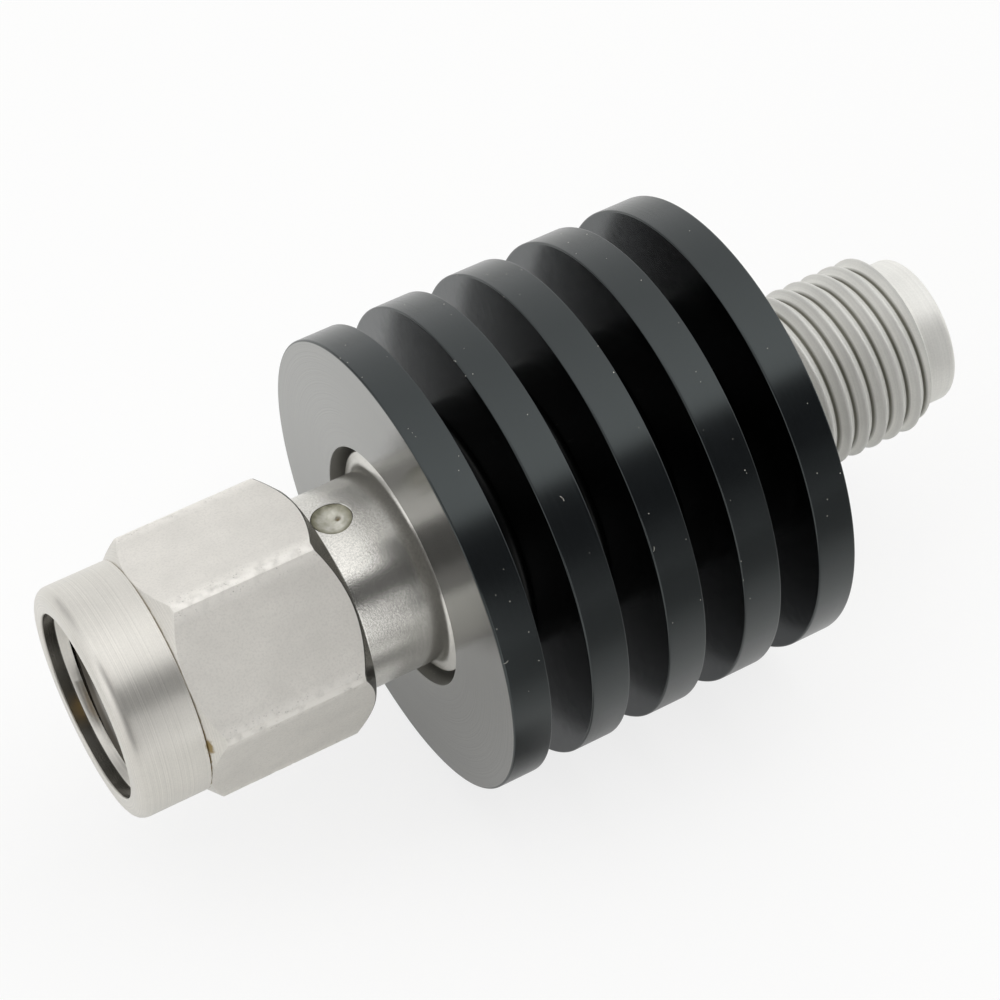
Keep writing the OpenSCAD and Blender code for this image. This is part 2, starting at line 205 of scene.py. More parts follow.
class Finishes(bpy.types.PropertyGroup):
    """Colours of the finishes"""

    anodised: colour("Anodised", "Black dye in the anodised layer", "#0F1113")
    # Darker than the fins' dye: painted shade between the fins
    gaps: colour("Anodised gaps", "Black dye on the core between the fins", "#070808")
    face: colour("Faced end", "Bright-faced metal showing through the dye on the end faces", "#939391")
    inner: colour("Parted faces", "Dyed metal of the fins' faces in the gaps", "#4C4F51")
    recess: colour("Recess", "Thinly dyed metal of the recesses and the bore", "#8F8E8A")
    skirt: colour("Turned steel", "Turned stainless steel of the nut", "#E6E3DC")
    flat: colour("Milled flats", "Milled and blasted flats of the nut", "#E3E0DA")
    # Darker than the nut's outer steel: painted shade inside the nut and on its rear cone and face
    bore: colour("Bored steel", "Smoothly bored stainless steel inside the nut", "#8F8D88")
    neck: colour("Neck steel", "Turned stainless steel of the plug's body", "#E6E4DE")
    jack: colour("Jack steel", "Passivated stainless steel of the jack", "#F0EFEA")
    tarnish: colour("Tarnish", "Brown film in the corner behind the skirt", "#8C7436")
    resin: colour("Resin", "Cured epoxy resin", "#BDBA9E")
    gilt: colour("Gilt", "Gold plate on the contacts", "#E0B765")
    ptfe: colour("PTFE", "Insulators", "#EFEDE6")
    gasket: colour("Gasket", "Silicone rubber of the gasket", "#B5512F")
    brass: colour("Brass", "Turned brass of the carriers", "#C9A45C")
    ring: colour("Spring bronze", "Drawn wire of the snap ring", "#B98F5A")
    ceramic: colour("Ceramic", "Fired alumina of the card", "#E9E5DB")
    lint: colour("Lint", "Pale specks of lint", "#D9D6CC")
    floor: colour("Floor", "Paper under the part", "#F4F4F2")


# What can be linked to a node's input
LIVE = (bpy.types.Node, bpy.types.NodeSocket)


def node(tree, kind, inputs=None, **settings):
    """Adds a node with its settings, then its inputs: a socket, or a node's first output, is linked.

    An input that takes several links gets a list of them.
    """
    made = tree.nodes.new(kind)
    for key, value in settings.items():
        setattr(made, key, value)
    for key, value in (inputs or {}).items():
        for one in value if isinstance(value, list) else [value]:
            if isinstance(one, bpy.types.Node):
                one = one.outputs[0]
            if isinstance(one, bpy.types.NodeSocket):
                tree.links.new(one, made.inputs[key])
            else:
                made.inputs[key].default_value = one
    return made


def maths(tree, operation, *values, **settings):
    """One step of arithmetic."""
    return node(tree, "ShaderNodeMath", dict(enumerate(values)), operation=operation, **settings)


def vector_maths(tree, operation, *values):
    """One step of arithmetic on vectors."""
    return node(tree, "ShaderNodeVectorMath", dict(enumerate(values)), operation=operation)


def split(tree, vector):
    """The parts of a vector, by the names of the axes."""
    return node(tree, "ShaderNodeSeparateXYZ", {0: vector}).outputs


def product(tree, *shares):
    """All the shares multiplied."""
    whole = shares[0]
    for share in shares[1:]:
        whole = maths(tree, "MULTIPLY", whole, share)
    return whole


def spread(tree, value, low, high, start=0.0, end=1.0, **settings):
    """A grey value from start to end laid over low to high."""
    return node(tree, "ShaderNodeMapRange", {
        "Value": value, "From Min": start, "From Max": end, "To Min": low, "To Max": high}, **settings)


def mask(tree, *edges):
    """The product of edges, each given as spread takes it: a value, two levels and where they lie."""
    return product(tree, *(spread(tree, *edge) for edge in edges))


def scaled(triple, share):
    """A linear colour or a size times a number."""
    return tuple(c * share for c in triple)


# Outlines


def bend(station, radius, rounding=0.0, parts=1):
    """A corner of an outline: its place, its rounding and how many parts the next span has."""
    return station, radius, rounding, parts


def rounded(corners, steps=5):
    """A closed outline of (station, radius, corner number) points, with each corner turned to an arc.

    An arc takes at most nine tenths of the room beside its corner. The outline is held straight for a
    short way on both sides of it, which keeps flat faces flat.
    """
    arcs = []
    count = len(corners)
    for i, (x, y, size, _) in enumerate(corners):
        here = np.array((x, y))
        if size <= 0:
            arcs.append([here])
            continue
        before, after = corners[i - 1], corners[(i + 1) % count]
        back, ahead = np.array(before[:2]) - here, np.array(after[:2]) - here
        room = min(np.linalg.norm(back) - before[2], np.linalg.norm(ahead) - after[2])
        back, ahead = back / np.linalg.norm(back), ahead / np.linalg.norm(ahead)
        half = math.acos(max(-1.0, min(1.0, float(back @ ahead)))) / 2
        reach = min(size / math.tan(half), 0.9 * room)
        radius = reach * math.tan(half)
        middle = back + ahead
        centre = here + middle / np.linalg.norm(middle) * radius / math.sin(half)
        first, last = here + back * reach - centre, here + ahead * reach - centre
        sweep = math.pi - 2 * half
        hold = min(0.25 * reach, 0.1 * room)
        arc = [here + back * (reach + hold)]
        for k in range(steps + 1):
            share = k / steps
            a = math.sin((1 - share) * sweep) / math.sin(sweep)
            b = math.sin(share * sweep) / math.sin(sweep)
            arc.append(centre + a * first + b * last)
        arc.append(here + ahead * (reach + hold))
        arcs.append(arc)
    outline = []
    for i, arc in enumerate(arcs):
        parts, goal = corners[i][3], arcs[(i + 1) % count][0]
        span = [arc[-1] + (goal - arc[-1]) * k / parts for k in range(1, parts)]
        outline += [(*point, i) for point in arc + span]
    return np.array(outline)


# Geometry Nodes trees


def new_tree(name, inputs):
    """An empty Geometry Nodes tree with a geometry in, a geometry out and these named inputs."""
    tree = bpy.data.node_groups.new(name, "GeometryNodeTree")
    tree.interface.new_socket("Geometry", in_out="INPUT", socket_type="NodeSocketGeometry")
    for label, kind in inputs.items():
        tree.interface.new_socket(label, in_out="INPUT", socket_type="NodeSocket" + kind)
    tree.interface.new_socket("Geometry", in_out="OUTPUT", socket_type="NodeSocketGeometry")
    return tree, node(tree, "NodeGroupInput").outputs


def end_tree(tree, shape, material, chosen=True):
    """Ends a tree in a plain mesh whose chosen faces have the material."""
    real = node(tree, "GeometryNodeRealizeInstances", {"Geometry": shape})
    dressed = node(tree, "GeometryNodeSetMaterial", {
        "Geometry": real, "Selection": chosen, "Material": material})
    node(tree, "NodeGroupOutput", {0: dressed})
    return tree


def turning_tree():
    """Turns the points of an outline, (x, radius, 0), about the line's axis."""
    tree, given = new_tree("turning", {"Segments": "Int", "Height": "Float", "Material": "Material"})
    outline = given["Geometry"]
    rows = node(tree, "GeometryNodeAttributeDomainSize", {"Geometry": outline}).outputs["Point Count"]
    columns = node(tree, "FunctionNodeIntegerMath", {0: given["Segments"], 1: 1}, operation="ADD")
    grid = node(tree, "GeometryNodeMeshGrid", {
        "Size X": 1.0, "Size Y": 1.0, "Vertices X": columns, "Vertices Y": rows}).outputs
    mapped = node(tree, "GeometryNodeStoreNamedAttribute", {
        "Geometry": grid["Mesh"], "Name": "turning", "Value": grid["UV Map"]},
        data_type="FLOAT2", domain="CORNER")
    index = node(tree, "GeometryNodeInputIndex")
    row = node(tree, "FunctionNodeIntegerMath", {0: index, 1: rows}, operation="MODULO")
    column = node(tree, "FunctionNodeIntegerMath", {0: index, 1: rows}, operation="DIVIDE_FLOOR")
    angle = maths(tree, "MULTIPLY", maths(tree, "DIVIDE", column, given["Segments"]), 2 * math.pi)
    point = node(tree, "GeometryNodeSampleIndex", {
        "Geometry": outline, "Value": node(tree, "GeometryNodeInputPosition"), "Index": row},
        data_type="FLOAT_VECTOR", domain="POINT")
    place = node(tree, "ShaderNodeVectorRotate", {"Vector": point, "Angle": angle}, rotation_type="X_AXIS")
    lift = node(tree, "ShaderNodeCombineXYZ", {"Z": given["Height"]})
    placed = node(tree, "GeometryNodeSetPosition", {"Geometry": mapped, "Position": place, "Offset": lift})
    closed = node(tree, "GeometryNodeMergeByDistance", {"Geometry": placed, "Distance": WELD})
    return end_tree(tree, closed, given["Material"])


def thread_tree():
    """Cuts a right-handed helical groove, outwards or inwards from the crests, and stores its depth."""
    sizes = ("Height", "Crest", "Pitch", "Depth", "Front", "Rear", "Run-out", "Start")
    tree, given = new_tree("thread", {**dict.fromkeys(sizes, "Float"), "Material": "Material"})
    place = split(tree, node(tree, "GeometryNodeInputPosition"))
    up = maths(tree, "SUBTRACT", place["Z"], given["Height"])
    out = node(tree, "ShaderNodeCombineXYZ", {"Y": place["Y"], "Z": up})
    radius = vector_maths(tree, "LENGTH", out).outputs["Value"]
    tall = maths(tree, "ADD", maths(tree, "ABSOLUTE", given["Depth"]), NEAR)
    on_thread = maths(tree, "COMPARE", radius, given["Crest"], tall)
    # Share of a turn from the crest's middle, 0 there and 1 in the middle of the groove
    turns = maths(tree, "DIVIDE", maths(tree, "ARCTAN2", up, place["Y"]), 2 * math.pi)
    along = maths(tree, "SUBTRACT", place["X"], given["Start"])
    phase = maths(tree, "SUBTRACT", maths(tree, "DIVIDE", along, given["Pitch"]), turns)
    wave = maths(tree, "PINGPONG", maths(tree, "MULTIPLY", phase, 2.0), 1.0)
    crest_share, root_share = 0.1, 0.94
    form = spread(tree, wave, 0.0, 1.0, crest_share, root_share)
    # The groove fades in behind the front end and out before the rear end
    fades = [
        spread(tree, place["X"], 0.0, 1.0, given[end], maths(tree, inwards, given[end], given["Run-out"]),
               interpolation_type="SMOOTHSTEP")
        for end, inwards in (("Front", "ADD"), ("Rear", "SUBTRACT"))]
    groove = product(tree, form, product(tree, *fades), on_thread)
    goal = maths(tree, "MULTIPLY_ADD", groove, given["Depth"], given["Crest"])
    # A groove takes metal away on its own side only, and only where the thread runs
    side = maths(tree, "SIGN", given["Depth"])
    reach = maths(tree, "MULTIPLY", maths(tree, "SUBTRACT", goal, radius), side)
    reach = product(tree, maths(tree, "MAXIMUM", reach, 0.0), side, on_thread)
    move = node(tree, "ShaderNodeVectorMath", {
        0: vector_maths(tree, "NORMALIZE", out), "Scale": reach}, operation="SCALE")
    # Stored as 0 on a crest, 1 in a groove and -1 off the thread
    mark = maths(tree, "ADD", groove, maths(tree, "SUBTRACT", on_thread, 1.0))
    kept = node(tree, "GeometryNodeStoreNamedAttribute", {
        "Geometry": given["Geometry"], "Name": "groove", "Value": mark}, data_type="FLOAT", domain="POINT")
    cut = node(tree, "GeometryNodeSetPosition", {"Geometry": kept, "Offset": move})
    depth = node(tree, "GeometryNodeInputNamedAttribute", {"Name": "groove"}, data_type="FLOAT")
    least_depth = 0.01
    return end_tree(tree, cut, given["Material"], maths(tree, "GREATER_THAN", depth, least_depth))


def lint_tree():
    """Strews grains and a few short fibres over the upper side of a surface."""
    tree, given = new_tree("lint", {"Density": "Float", "Seed": "Int", "Material": "Material"})
    facing = split(tree, node(tree, "GeometryNodeInputNormal"))["Z"]
    least_rise, fibre_share = 0.15, 0.03
    upper = maths(tree, "GREATER_THAN", facing, least_rise)
    few = maths(tree, "MULTIPLY", given["Density"], fibre_share)
    other_seed = maths(tree, "ADD", given["Seed"], 1.0)
    grain = node(tree, "GeometryNodeMeshIcoSphere", {"Radius": 1.0, "Subdivisions": 1})
    arc = node(tree, "GeometryNodeCurveQuadraticBezier", {
        "Resolution": 5, "Start": (-1.0, 0.0, 0.1), "Middle": (0.1, 0.7, 0.25), "End": (1.0, -0.2, 0.1)})
    section = node(tree, "GeometryNodeCurvePrimitiveCircle", {"Resolution": 4, "Radius": 0.1})
    fibre = node(tree, "GeometryNodeCurveToMesh", {
        "Curve": arc, "Profile Curve": section, "Fill Caps": True})
    # Least and greatest size in millimetres
    grains = (0.008, 0.008, 0.006), (0.024, 0.024, 0.012)
    fibres = (0.04, 0.04, 0.04), (0.1, 0.1, 0.08)
    strewn = []
    for shape, density, seed, (least, most) in (
            (grain, given["Density"], given["Seed"], grains), (fibre, few, other_seed, fibres)):
        points = node(tree, "GeometryNodeDistributePointsOnFaces", {
            "Mesh": given["Geometry"], "Selection": upper, "Density": density, "Seed": seed},
            distribute_method="RANDOM").outputs
        size = node(tree, "FunctionNodeRandomValue", {
            "Min": scaled(least, MM), "Max": scaled(most, MM), "Seed": 5}, data_type="FLOAT_VECTOR")
        spin = node(tree, "FunctionNodeRandomValue", {
            "Min": (0.0, 0.0, 0.0), "Max": (0.0, 0.0, 2 * math.pi), "Seed": 9}, data_type="FLOAT_VECTOR")
        turn = node(tree, "FunctionNodeRotateRotation", {
            "Rotation": points["Rotation"], "Rotate By": spin}, rotation_space="LOCAL")
        strewn.append(node(tree, "GeometryNodeInstanceOnPoints", {
            "Points": points["Points"], "Instance": shape, "Rotation": turn, "Scale": size}))
    joined = node(tree, "GeometryNodeJoinGeometry", {"Geometry": strewn})
    return end_tree(tree, joined, given["Material"])


# Making pieces


def new_piece(name, mesh):
    """An object at the origin with this mesh."""
    piece = bpy.data.objects.new(name, mesh)
    bpy.context.scene.collection.objects.link(piece)
    return piece


def lay_nodes(piece, tree, values):
    """Puts a tree on a piece, with its named inputs set before it is first evaluated."""
    modifier = piece.modifiers.new(tree.name, "NODES")
    modifier.node_group = tree
    for item in tree.interface.items_tree:
        if item.in_out == "INPUT" and item.name in values:
            modifier[item.identifier] = values[item.name]


def settle(piece, crease=35):
    """Makes the evaluated piece a plain mesh: seams closed, faces outwards, edges over the crease crisp."""
    bpy.context.view_layer.update()
    drawn = piece.evaluated_get(bpy.context.evaluated_depsgraph_get())
    mesh = bpy.data.meshes.new_from_object(drawn)
    piece.modifiers.clear()
    piece.data = mesh
    mesh.name = piece.name
    skin = bmesh.new()
    skin.from_mesh(mesh)
    bmesh.ops.remove_doubles(skin, verts=skin.verts, dist=WELD)
    bmesh.ops.recalc_face_normals(skin, faces=skin.faces)
    skin.to_mesh(mesh)
    skin.free()
    mesh.shade_smooth()
    mesh.set_sharp_from_angle(angle=math.radians(crease))
    return piece


def turned(name, outline, material, segments, height=AXIS_Z, shift=FACE_X, ring=True):
    """Turns an outline of (station, radius) points; a ring's outline closes on itself."""
    points = [(shift + point[0], point[1], 0.0) for point in outline]
    if ring:
        points.append(points[0])
    mesh = bpy.data.meshes.new(name)
    mesh.from_pydata(points, [], [])
    piece = new_piece(name, mesh)
    lay_nodes(piece, turning_tree(), {"Segments": segments, "Height": height, "Material": material})
    return settle(piece)


def block(name, low, high):
    """A box between two corners, as a cutter."""
    skin = bmesh.new()
    bmesh.ops.create_cube(skin, size=1.0)
    low, high = Vector(low), Vector(high)
    for vertex in skin.verts:
        vertex.co = [m + c * w for m, c, w in zip((low + high) / 2, vertex.co, high - low)]
    mesh = bpy.data.meshes.new(name)
    skin.to_mesh(mesh)
    skin.free()
    return new_piece(name, mesh)


def cut_away(piece, cutters):
    """Cuts the cutters out of a piece and removes them."""
    for cutter in cutters:
        modifier = piece.modifiers.new(cutter.name, "BOOLEAN")
        modifier.operation, modifier.object, modifier.solver = "DIFFERENCE", cutter, "EXACT"
    settle(piece)
    for cutter in cutters:
        mesh = cutter.data
        bpy.data.objects.remove(cutter)
        bpy.data.meshes.remove(mesh)
    return piece


def cut_thread(piece, size, crest_r, depth, front, rear, material):
    """Cuts the connector thread between two stations."""
    lay_nodes(piece, thread_tree(), {
        "Height": AXIS_Z, "Crest": crest_r, "Pitch": size.pitch, "Depth": depth, "Front": FACE_X + front,
        "Rear": FACE_X + rear, "Run-out": size.run_out, "Start": FACE_X + size.start, "Material": material})
    return settle(piece, crease=60)


def across_neck(size):
    """Matrix that stands a shape turned about X in the neck's filled hole."""
    return Matrix.Translation((FACE_X - size.fill_set, 0, AXIS_Z)) @ Matrix.Rotation(
        size.fill_turn, 4, "X") @ Matrix.Rotation(math.pi / 2, 4, "Z")


def finish_piece(piece, body, cad_node):
    """Sets a finished piece in the frame in place of its CAD node."""
    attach(piece, body)
    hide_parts(cad_node)


# Materials


def new_material(name):
    """A material and its empty node tree."""
    material = bpy.data.materials.new(name)
    material.use_nodes = True
    material.node_tree.nodes.clear()
    return material, material.node_tree


def surface(tree, inputs):
    """Ends a material's tree in one shader with these inputs."""
    shader = node(tree, "ShaderNodeBsdfPrincipled", inputs)
    node(tree, "ShaderNodeOutputMaterial", {"Surface": shader})
    return shader


def from_axis(tree):
    """The shaded point's place, its station coordinate and its distance from the line's axis."""
    place = node(tree, "ShaderNodeTexCoord").outputs["Object"]
    station = split(tree, place)["X"]
    across = vector_maths(tree, "MULTIPLY_ADD", place, (0.0, 1.0, 1.0), (0.0, 0.0, -AXIS_Z))
    return place, station, vector_maths(tree, "LENGTH", across).outputs["Value"]


def turning_lines(tree, feed, detail=2.0):
    """Grey lines along the tool's path: they change with station on a cylinder and with radius on a face."""
    _, station, radius = from_axis(tree)
    return node(tree, "ShaderNodeTexNoise", {
        "W": maths(tree, "ADD", station, radius), "Scale": 1 / feed, "Detail": detail}, noise_dimensions="1D")


def along_lines(tree):
    """The direction of the tool's path, from the turned pieces' own map."""
    return node(tree, "ShaderNodeTangent", direction_type="UV_MAP", uv_map="turning")


def clouds(tree, grain, detail=3.0):
    """Soft grey clouds of about this size."""
    place = node(tree, "ShaderNodeTexCoord").outputs["Object"]
    return node(tree, "ShaderNodeTexNoise", {"Vector": place, "Scale": 1 / grain, "Detail": detail})


def stored(tree, name):
    """A grey value that the mesh carries under this name."""
    return node(tree, "ShaderNodeAttribute", attribute_name=name).outputs["Fac"]


def bump(tree, height, strength, deep, normal=None, **settings):
    """A normal tilted by a grey height, which stands for this depth in millimetres."""
    inputs = {"Strength": strength, "Distance": deep * MM, "Height": height}
    if normal is not None:
        inputs["Normal"] = normal
    return node(tree, "ShaderNodeBump", inputs, **settings)


def blend(tree, share, first, second):
    """A colour between two, each a linear RGB colour or linked."""
    ends = [c if isinstance(c, LIVE) else (*c, 1.0) for c in (first, second)]
    return node(tree, "ShaderNodeMix", {0: share, 6: ends[0], 7: ends[1]}, data_type="RGBA").outputs[2]


def shades(tree, share, rgb, low, high):
    """A colour between two shades of one linear colour."""
    return blend(tree, share, scaled(rgb, low), scaled(rgb, high))


def anodised_fins(look):
    # Turned aluminium, dyed black and sealed: a clear hard oxide skin over a black ground, with fine
    # tool lines that soften its reflection. Oxide has a higher index than plastic.
    material, tree = new_material("black_anodised_aluminium_turned")
    lines = turning_lines(tree, 0.09 * MM)
    surface(tree, {
        "Base Color": shades(tree, clouds(tree, 0.6 * MM), look.anodised, 0.75, 1.3),
        "Roughness": spread(tree, lines, 0.19, 0.26), "Normal": bump(tree, lines, 0.2, 0.0025),
        "IOR": 1.61, "Specular Tint": (0.9, 1.0, 1.0, 1.0)})
    return material


def anodised_gaps_painted_shade(look):
    # The core is cut with a parting tool and left coarser: the same black oxide, but matt, and
    # painted a darker black as shade between the fins.
    material, tree = new_material("black_anodised_aluminium_grooved_painted_shade")
    lines = turning_lines(tree, 0.12 * MM)
    surface(tree, {
        "Base Color": shades(tree, lines, look.gaps, 0.8, 1.3), "Roughness": spread(tree, lines, 0.4, 0.5),
        "Normal": bump(tree, lines, 0.2, 0.003), "IOR": 1.35})
    return material


def anodised_face(look):
    # The end faces are faced bright with a fine feed, and the metal shows through the dye: concentric
    # lines that stretch the reflection outwards from the axis.
    material, tree = new_material("black_anodised_aluminium_faced")
    lines = turning_lines(tree, 0.05 * MM, 4.0)
    broad = turning_lines(tree, 0.5 * MM, 1.0)
    surface(tree, {
        "Base Color": shades(tree, lines, look.face, 0.8, 1.2), "Roughness": spread(tree, broad, 0.17, 0.22),
        "Normal": bump(tree, lines, 0.1, 0.003), "Tangent": along_lines(tree), "Metallic": 1.0,
        "Anisotropic": 0.8, "Anisotropic Rotation": QUARTER_TURN})
    return material


def turned_steel(name, rgb, rough, feed, grip, metallic=1.0, drawn=0.55, streak=0.12, sandy=0.12):
    # Turned stainless steel: pale and slightly warm, drawn out across the circumferential tool lines.
    # Where its finish is dull, part of the light is scattered, which a lower metallic value gives.
    material, tree = new_material(name)
    lines = turning_lines(tree, feed, 3.0)
    base = shades(tree, lines, rgb, 1 - streak, 1 + 0.4 * streak)
    mottle = clouds(tree, 0.7 * MM, 4.0)
    base = blend(tree, spread(tree, mottle, 0.0, 0.14, 0.4, 0.8), base, scaled(rgb, 0.62))
    fine = clouds(tree, 0.06 * MM, 2.0)
    base = blend(tree, spread(tree, fine, 0.0, sandy, 0.4, 0.7), base, scaled(rgb, 0.5))
    shader = surface(tree, {
        "Base Color": base, "Roughness": spread(tree, lines, rough - 0.4 * streak, rough + 0.65 * streak),
        "Normal": bump(tree, lines, grip, 0.004, bump(tree, fine, sandy, 0.006)),
        "Tangent": along_lines(tree), "Metallic": metallic, "Anisotropic": drawn,
        "Anisotropic Rotation": QUARTER_TURN})
    return material, tree, shader, base


def nut_steel(look, size):
    # The nut's turned surfaces, with a brown film of tarnish in the corner behind the skirt.
    material, tree, shader, base = turned_steel(
        "stainless_steel_turned_nut", look.skirt, 0.33, 0.05 * MM, 0.6, metallic=0.72, streak=0.3)
    place, station, radius = from_axis(tree)
    corner = NUT_LOW.x + size.skirt_len
    from_corner = maths(tree, "ABSOLUTE", maths(tree, "SUBTRACT", station, corner + 0.012 * MM))
    patchy = clouds(tree, 0.22 * MM)
    width = spread(tree, patchy, 0.012 * MM, 0.055 * MM, 0.35, 0.65)
    film = spread(tree, from_corner, 0.0, 1.4, width, 0.0)
    outside = maths(tree, "GREATER_THAN", radius, size.mouth_d * 0.55)
    # It is strongest from the height of the axis downwards
    high = split(tree, place)["Z"]
    low = spread(tree, high, 1.0, 0.3, AXIS_Z + 0.5 * MM, AXIS_Z + 3 * MM)
    film = product(tree, film, outside, low)
    # A blot of residue sits in the same corner, low on the side
    blot_r, blot_turn = size.skirt_d / 2, math.radians(167)
    blot = (corner + 0.05 * MM, blot_r * math.cos(blot_turn), AXIS_Z + blot_r * math.sin(blot_turn))
    away = vector_maths(tree, "SUBTRACT", place, blot)
    away = vector_maths(tree, "LENGTH", vector_maths(tree, "MULTIPLY", away, (3.0, 1.0, 1.0)))
    ragged = spread(tree, patchy, -0.1 * MM, 0.14 * MM, 0.3, 0.7)
    away = maths(tree, "ADD", away.outputs["Value"], ragged)
    stain = spread(tree, away, 0.9, 0.0, 0.15 * MM, 0.4 * MM)
    brown = maths(tree, "MAXIMUM", film, stain, use_clamp=True)
    tree.links.new(blend(tree, brown, base, look.tarnish), shader.inputs["Base Color"])
    return material


def bored_steel_painted_shade(look):
    # Bored and threaded stainless steel inside the nut and at its rear: smooth, with painted shade
    # in its darker colour, and grease and more painted shade in the thread's grooves.
    material, tree, shader, base = turned_steel("stainless_steel_bored_painted_shade", look.bore, 0.2, 0.09 * MM, 0.2)
    grease_and_painted_shade = spread(tree, stored(tree, "groove"), 0.0, 0.9, 0.1, 0.6)
    tree.links.new(blend(tree, grease_and_painted_shade, base, linear("#45413A")), shader.inputs["Base Color"])
    return material


def flat_steel(look, size):
    # The flats are milled, then blasted: nearly matt, so most light is scattered, with a sandy grain.
    # Spanners have rolled the edges over and pitted them, and the edges are painted brighter: wear
    # and a painted highlight.
    material, tree = new_material("stainless_steel_milled_flats")
    place = node(tree, "ShaderNodeTexCoord").outputs["Object"]
    apart = split(tree, place)
    angle = maths(tree, "ARCTAN2", maths(tree, "SUBTRACT", apart["Z"], AXIS_Z), apart["Y"])
    sixth = maths(tree, "MULTIPLY_ADD", angle, 3 / math.pi, -size.turn * 3 / math.pi)
    # 0 at a corner and 0.5 in the middle of a flat
    off = maths(tree, "PINGPONG", sixth, 0.5)
    edge = spread(tree, off, 1.0, 0.0, 0.01, 0.11)
    cloud = spread(tree, clouds(tree, 1.1 * MM, 4.0), 0.0, 1.0, 0.3, 0.7)
    base = shades(tree, cloud, look.flat, 0.95, 1.03)
    sand = clouds(tree, 0.07 * MM, 2.0)
    base = blend(tree, spread(tree, sand, 0.0, 0.4, 0.45, 0.75), base, scaled(look.flat, 0.78))
    pits = node(tree, "ShaderNodeTexVoronoi", {"Vector": place, "Scale": 1 / (0.1 * MM)}).outputs["Distance"]
    pit = mask(tree, (pits, 1.0, 0.0, 0.1, 0.34), (clouds(tree, 0.45 * MM), 0.0, 1.0, 0.47, 0.55),
               (edge, 0.0, 1.0, 0.15, 0.5))
    base = blend(tree, spread(tree, pit, 0.0, 0.6), base, scaled(look.flat, 0.35))
    patchy = spread(tree, clouds(tree, 0.3 * MM, 4.0), 0.0, 1.0, 0.3, 0.55)
    worn = product(tree, edge, patchy)
    # Brighter in patches along the corners: wear, and a painted highlight
    base = blend(tree, spread(tree, worn, 0.0, 0.9), base, scaled(look.flat, 1.18))
    rolled = bump(tree, edge, 1.0, 0.04, bump(tree, sand, 0.4, 0.005), invert=True)
    surface(tree, {
        "Base Color": base, "Roughness": maths(tree, "MULTIPLY_ADD", worn, -0.3, 0.72),
        "Normal": bump(tree, pit, 0.8, 0.012, rolled, invert=True), "Metallic": 0.35})
    return material


def jack_steel(look):
    # Passivated stainless steel, duller than the nut. Painted shade dims the thread's crests a
    # little and darkens the bottom of its groove, tinted olive.
    material, tree, shader, base = turned_steel(
        "stainless_steel_passivated_jack", look.jack, 0.42, 0.1 * MM, 0.25, metallic=0.28, drawn=0.3)
    groove = stored(tree, "groove")
    from_crest = maths(tree, "ABSOLUTE", groove)
    # Painted shade: the crests are dimmed a little
    base = blend(tree, spread(tree, from_crest, 0.3, 0.0, 0.0, 0.6), base, scaled(look.jack, 0.5))
    # Painted shade, tinted olive, along the bottom of the groove
    base = blend(tree, spread(tree, groove, 0.0, 0.92, 0.7, 0.96), base, linear("#4A4836"))
    tree.links.new(base, shader.inputs["Base Color"])
    return material


def epoxy(look):
    # Cured clear epoxy over steel: olive towards the rim, where there is more of it and shade is painted,
    # pale and cloudy in the middle, where there is less of it and a highlight is painted, and browner round
    # a trapped bubble. Its gloss is soft.
    material, tree = new_material("epoxy_resin_cured")
    cloud = spread(tree, clouds(tree, 0.22 * MM, 4.0), 0.0, 1.0, 0.3, 0.7)
    thick_and_painted_shade = shades(tree, cloud, look.resin, 0.4, 0.7)
    # Painted highlight: nearly white in the middle
    pale = blend(tree, cloud, linear("#C6C4B2"), linear("#F2F0E8"))
    base = blend(tree, spread(tree, stored(tree, "thin"), 0.0, 1.0, 0.05, 0.45), thick_and_painted_shade, pale)
    base = blend(tree, stored(tree, "bubble"), base, linear("#6A5628"))
    surface(tree, {
        "Base Color": base, "Normal": bump(tree, clouds(tree, 0.12 * MM), 0.3, 0.02), "Roughness": 0.26,
        "Metallic": 0.2, "IOR": 1.55})
    return material


def plain_finish(name, rgb, metallic, rough, grain, vary, ior=1.5):
    # A small piece's finish: its colour and gloss vary softly at the grain of its making.
    material, tree = new_material(name)
    cloud = clouds(tree, grain)
    surface(tree, {
        "Base Color": shades(tree, cloud, rgb, 1 - vary, 1 + vary * 0.6),
        "Roughness": spread(tree, cloud, rough - 0.06, rough + 0.08), "Normal": bump(tree, cloud, 0.3, 0.004),
        "Metallic": metallic, "IOR": ior})
    return material


# Operators


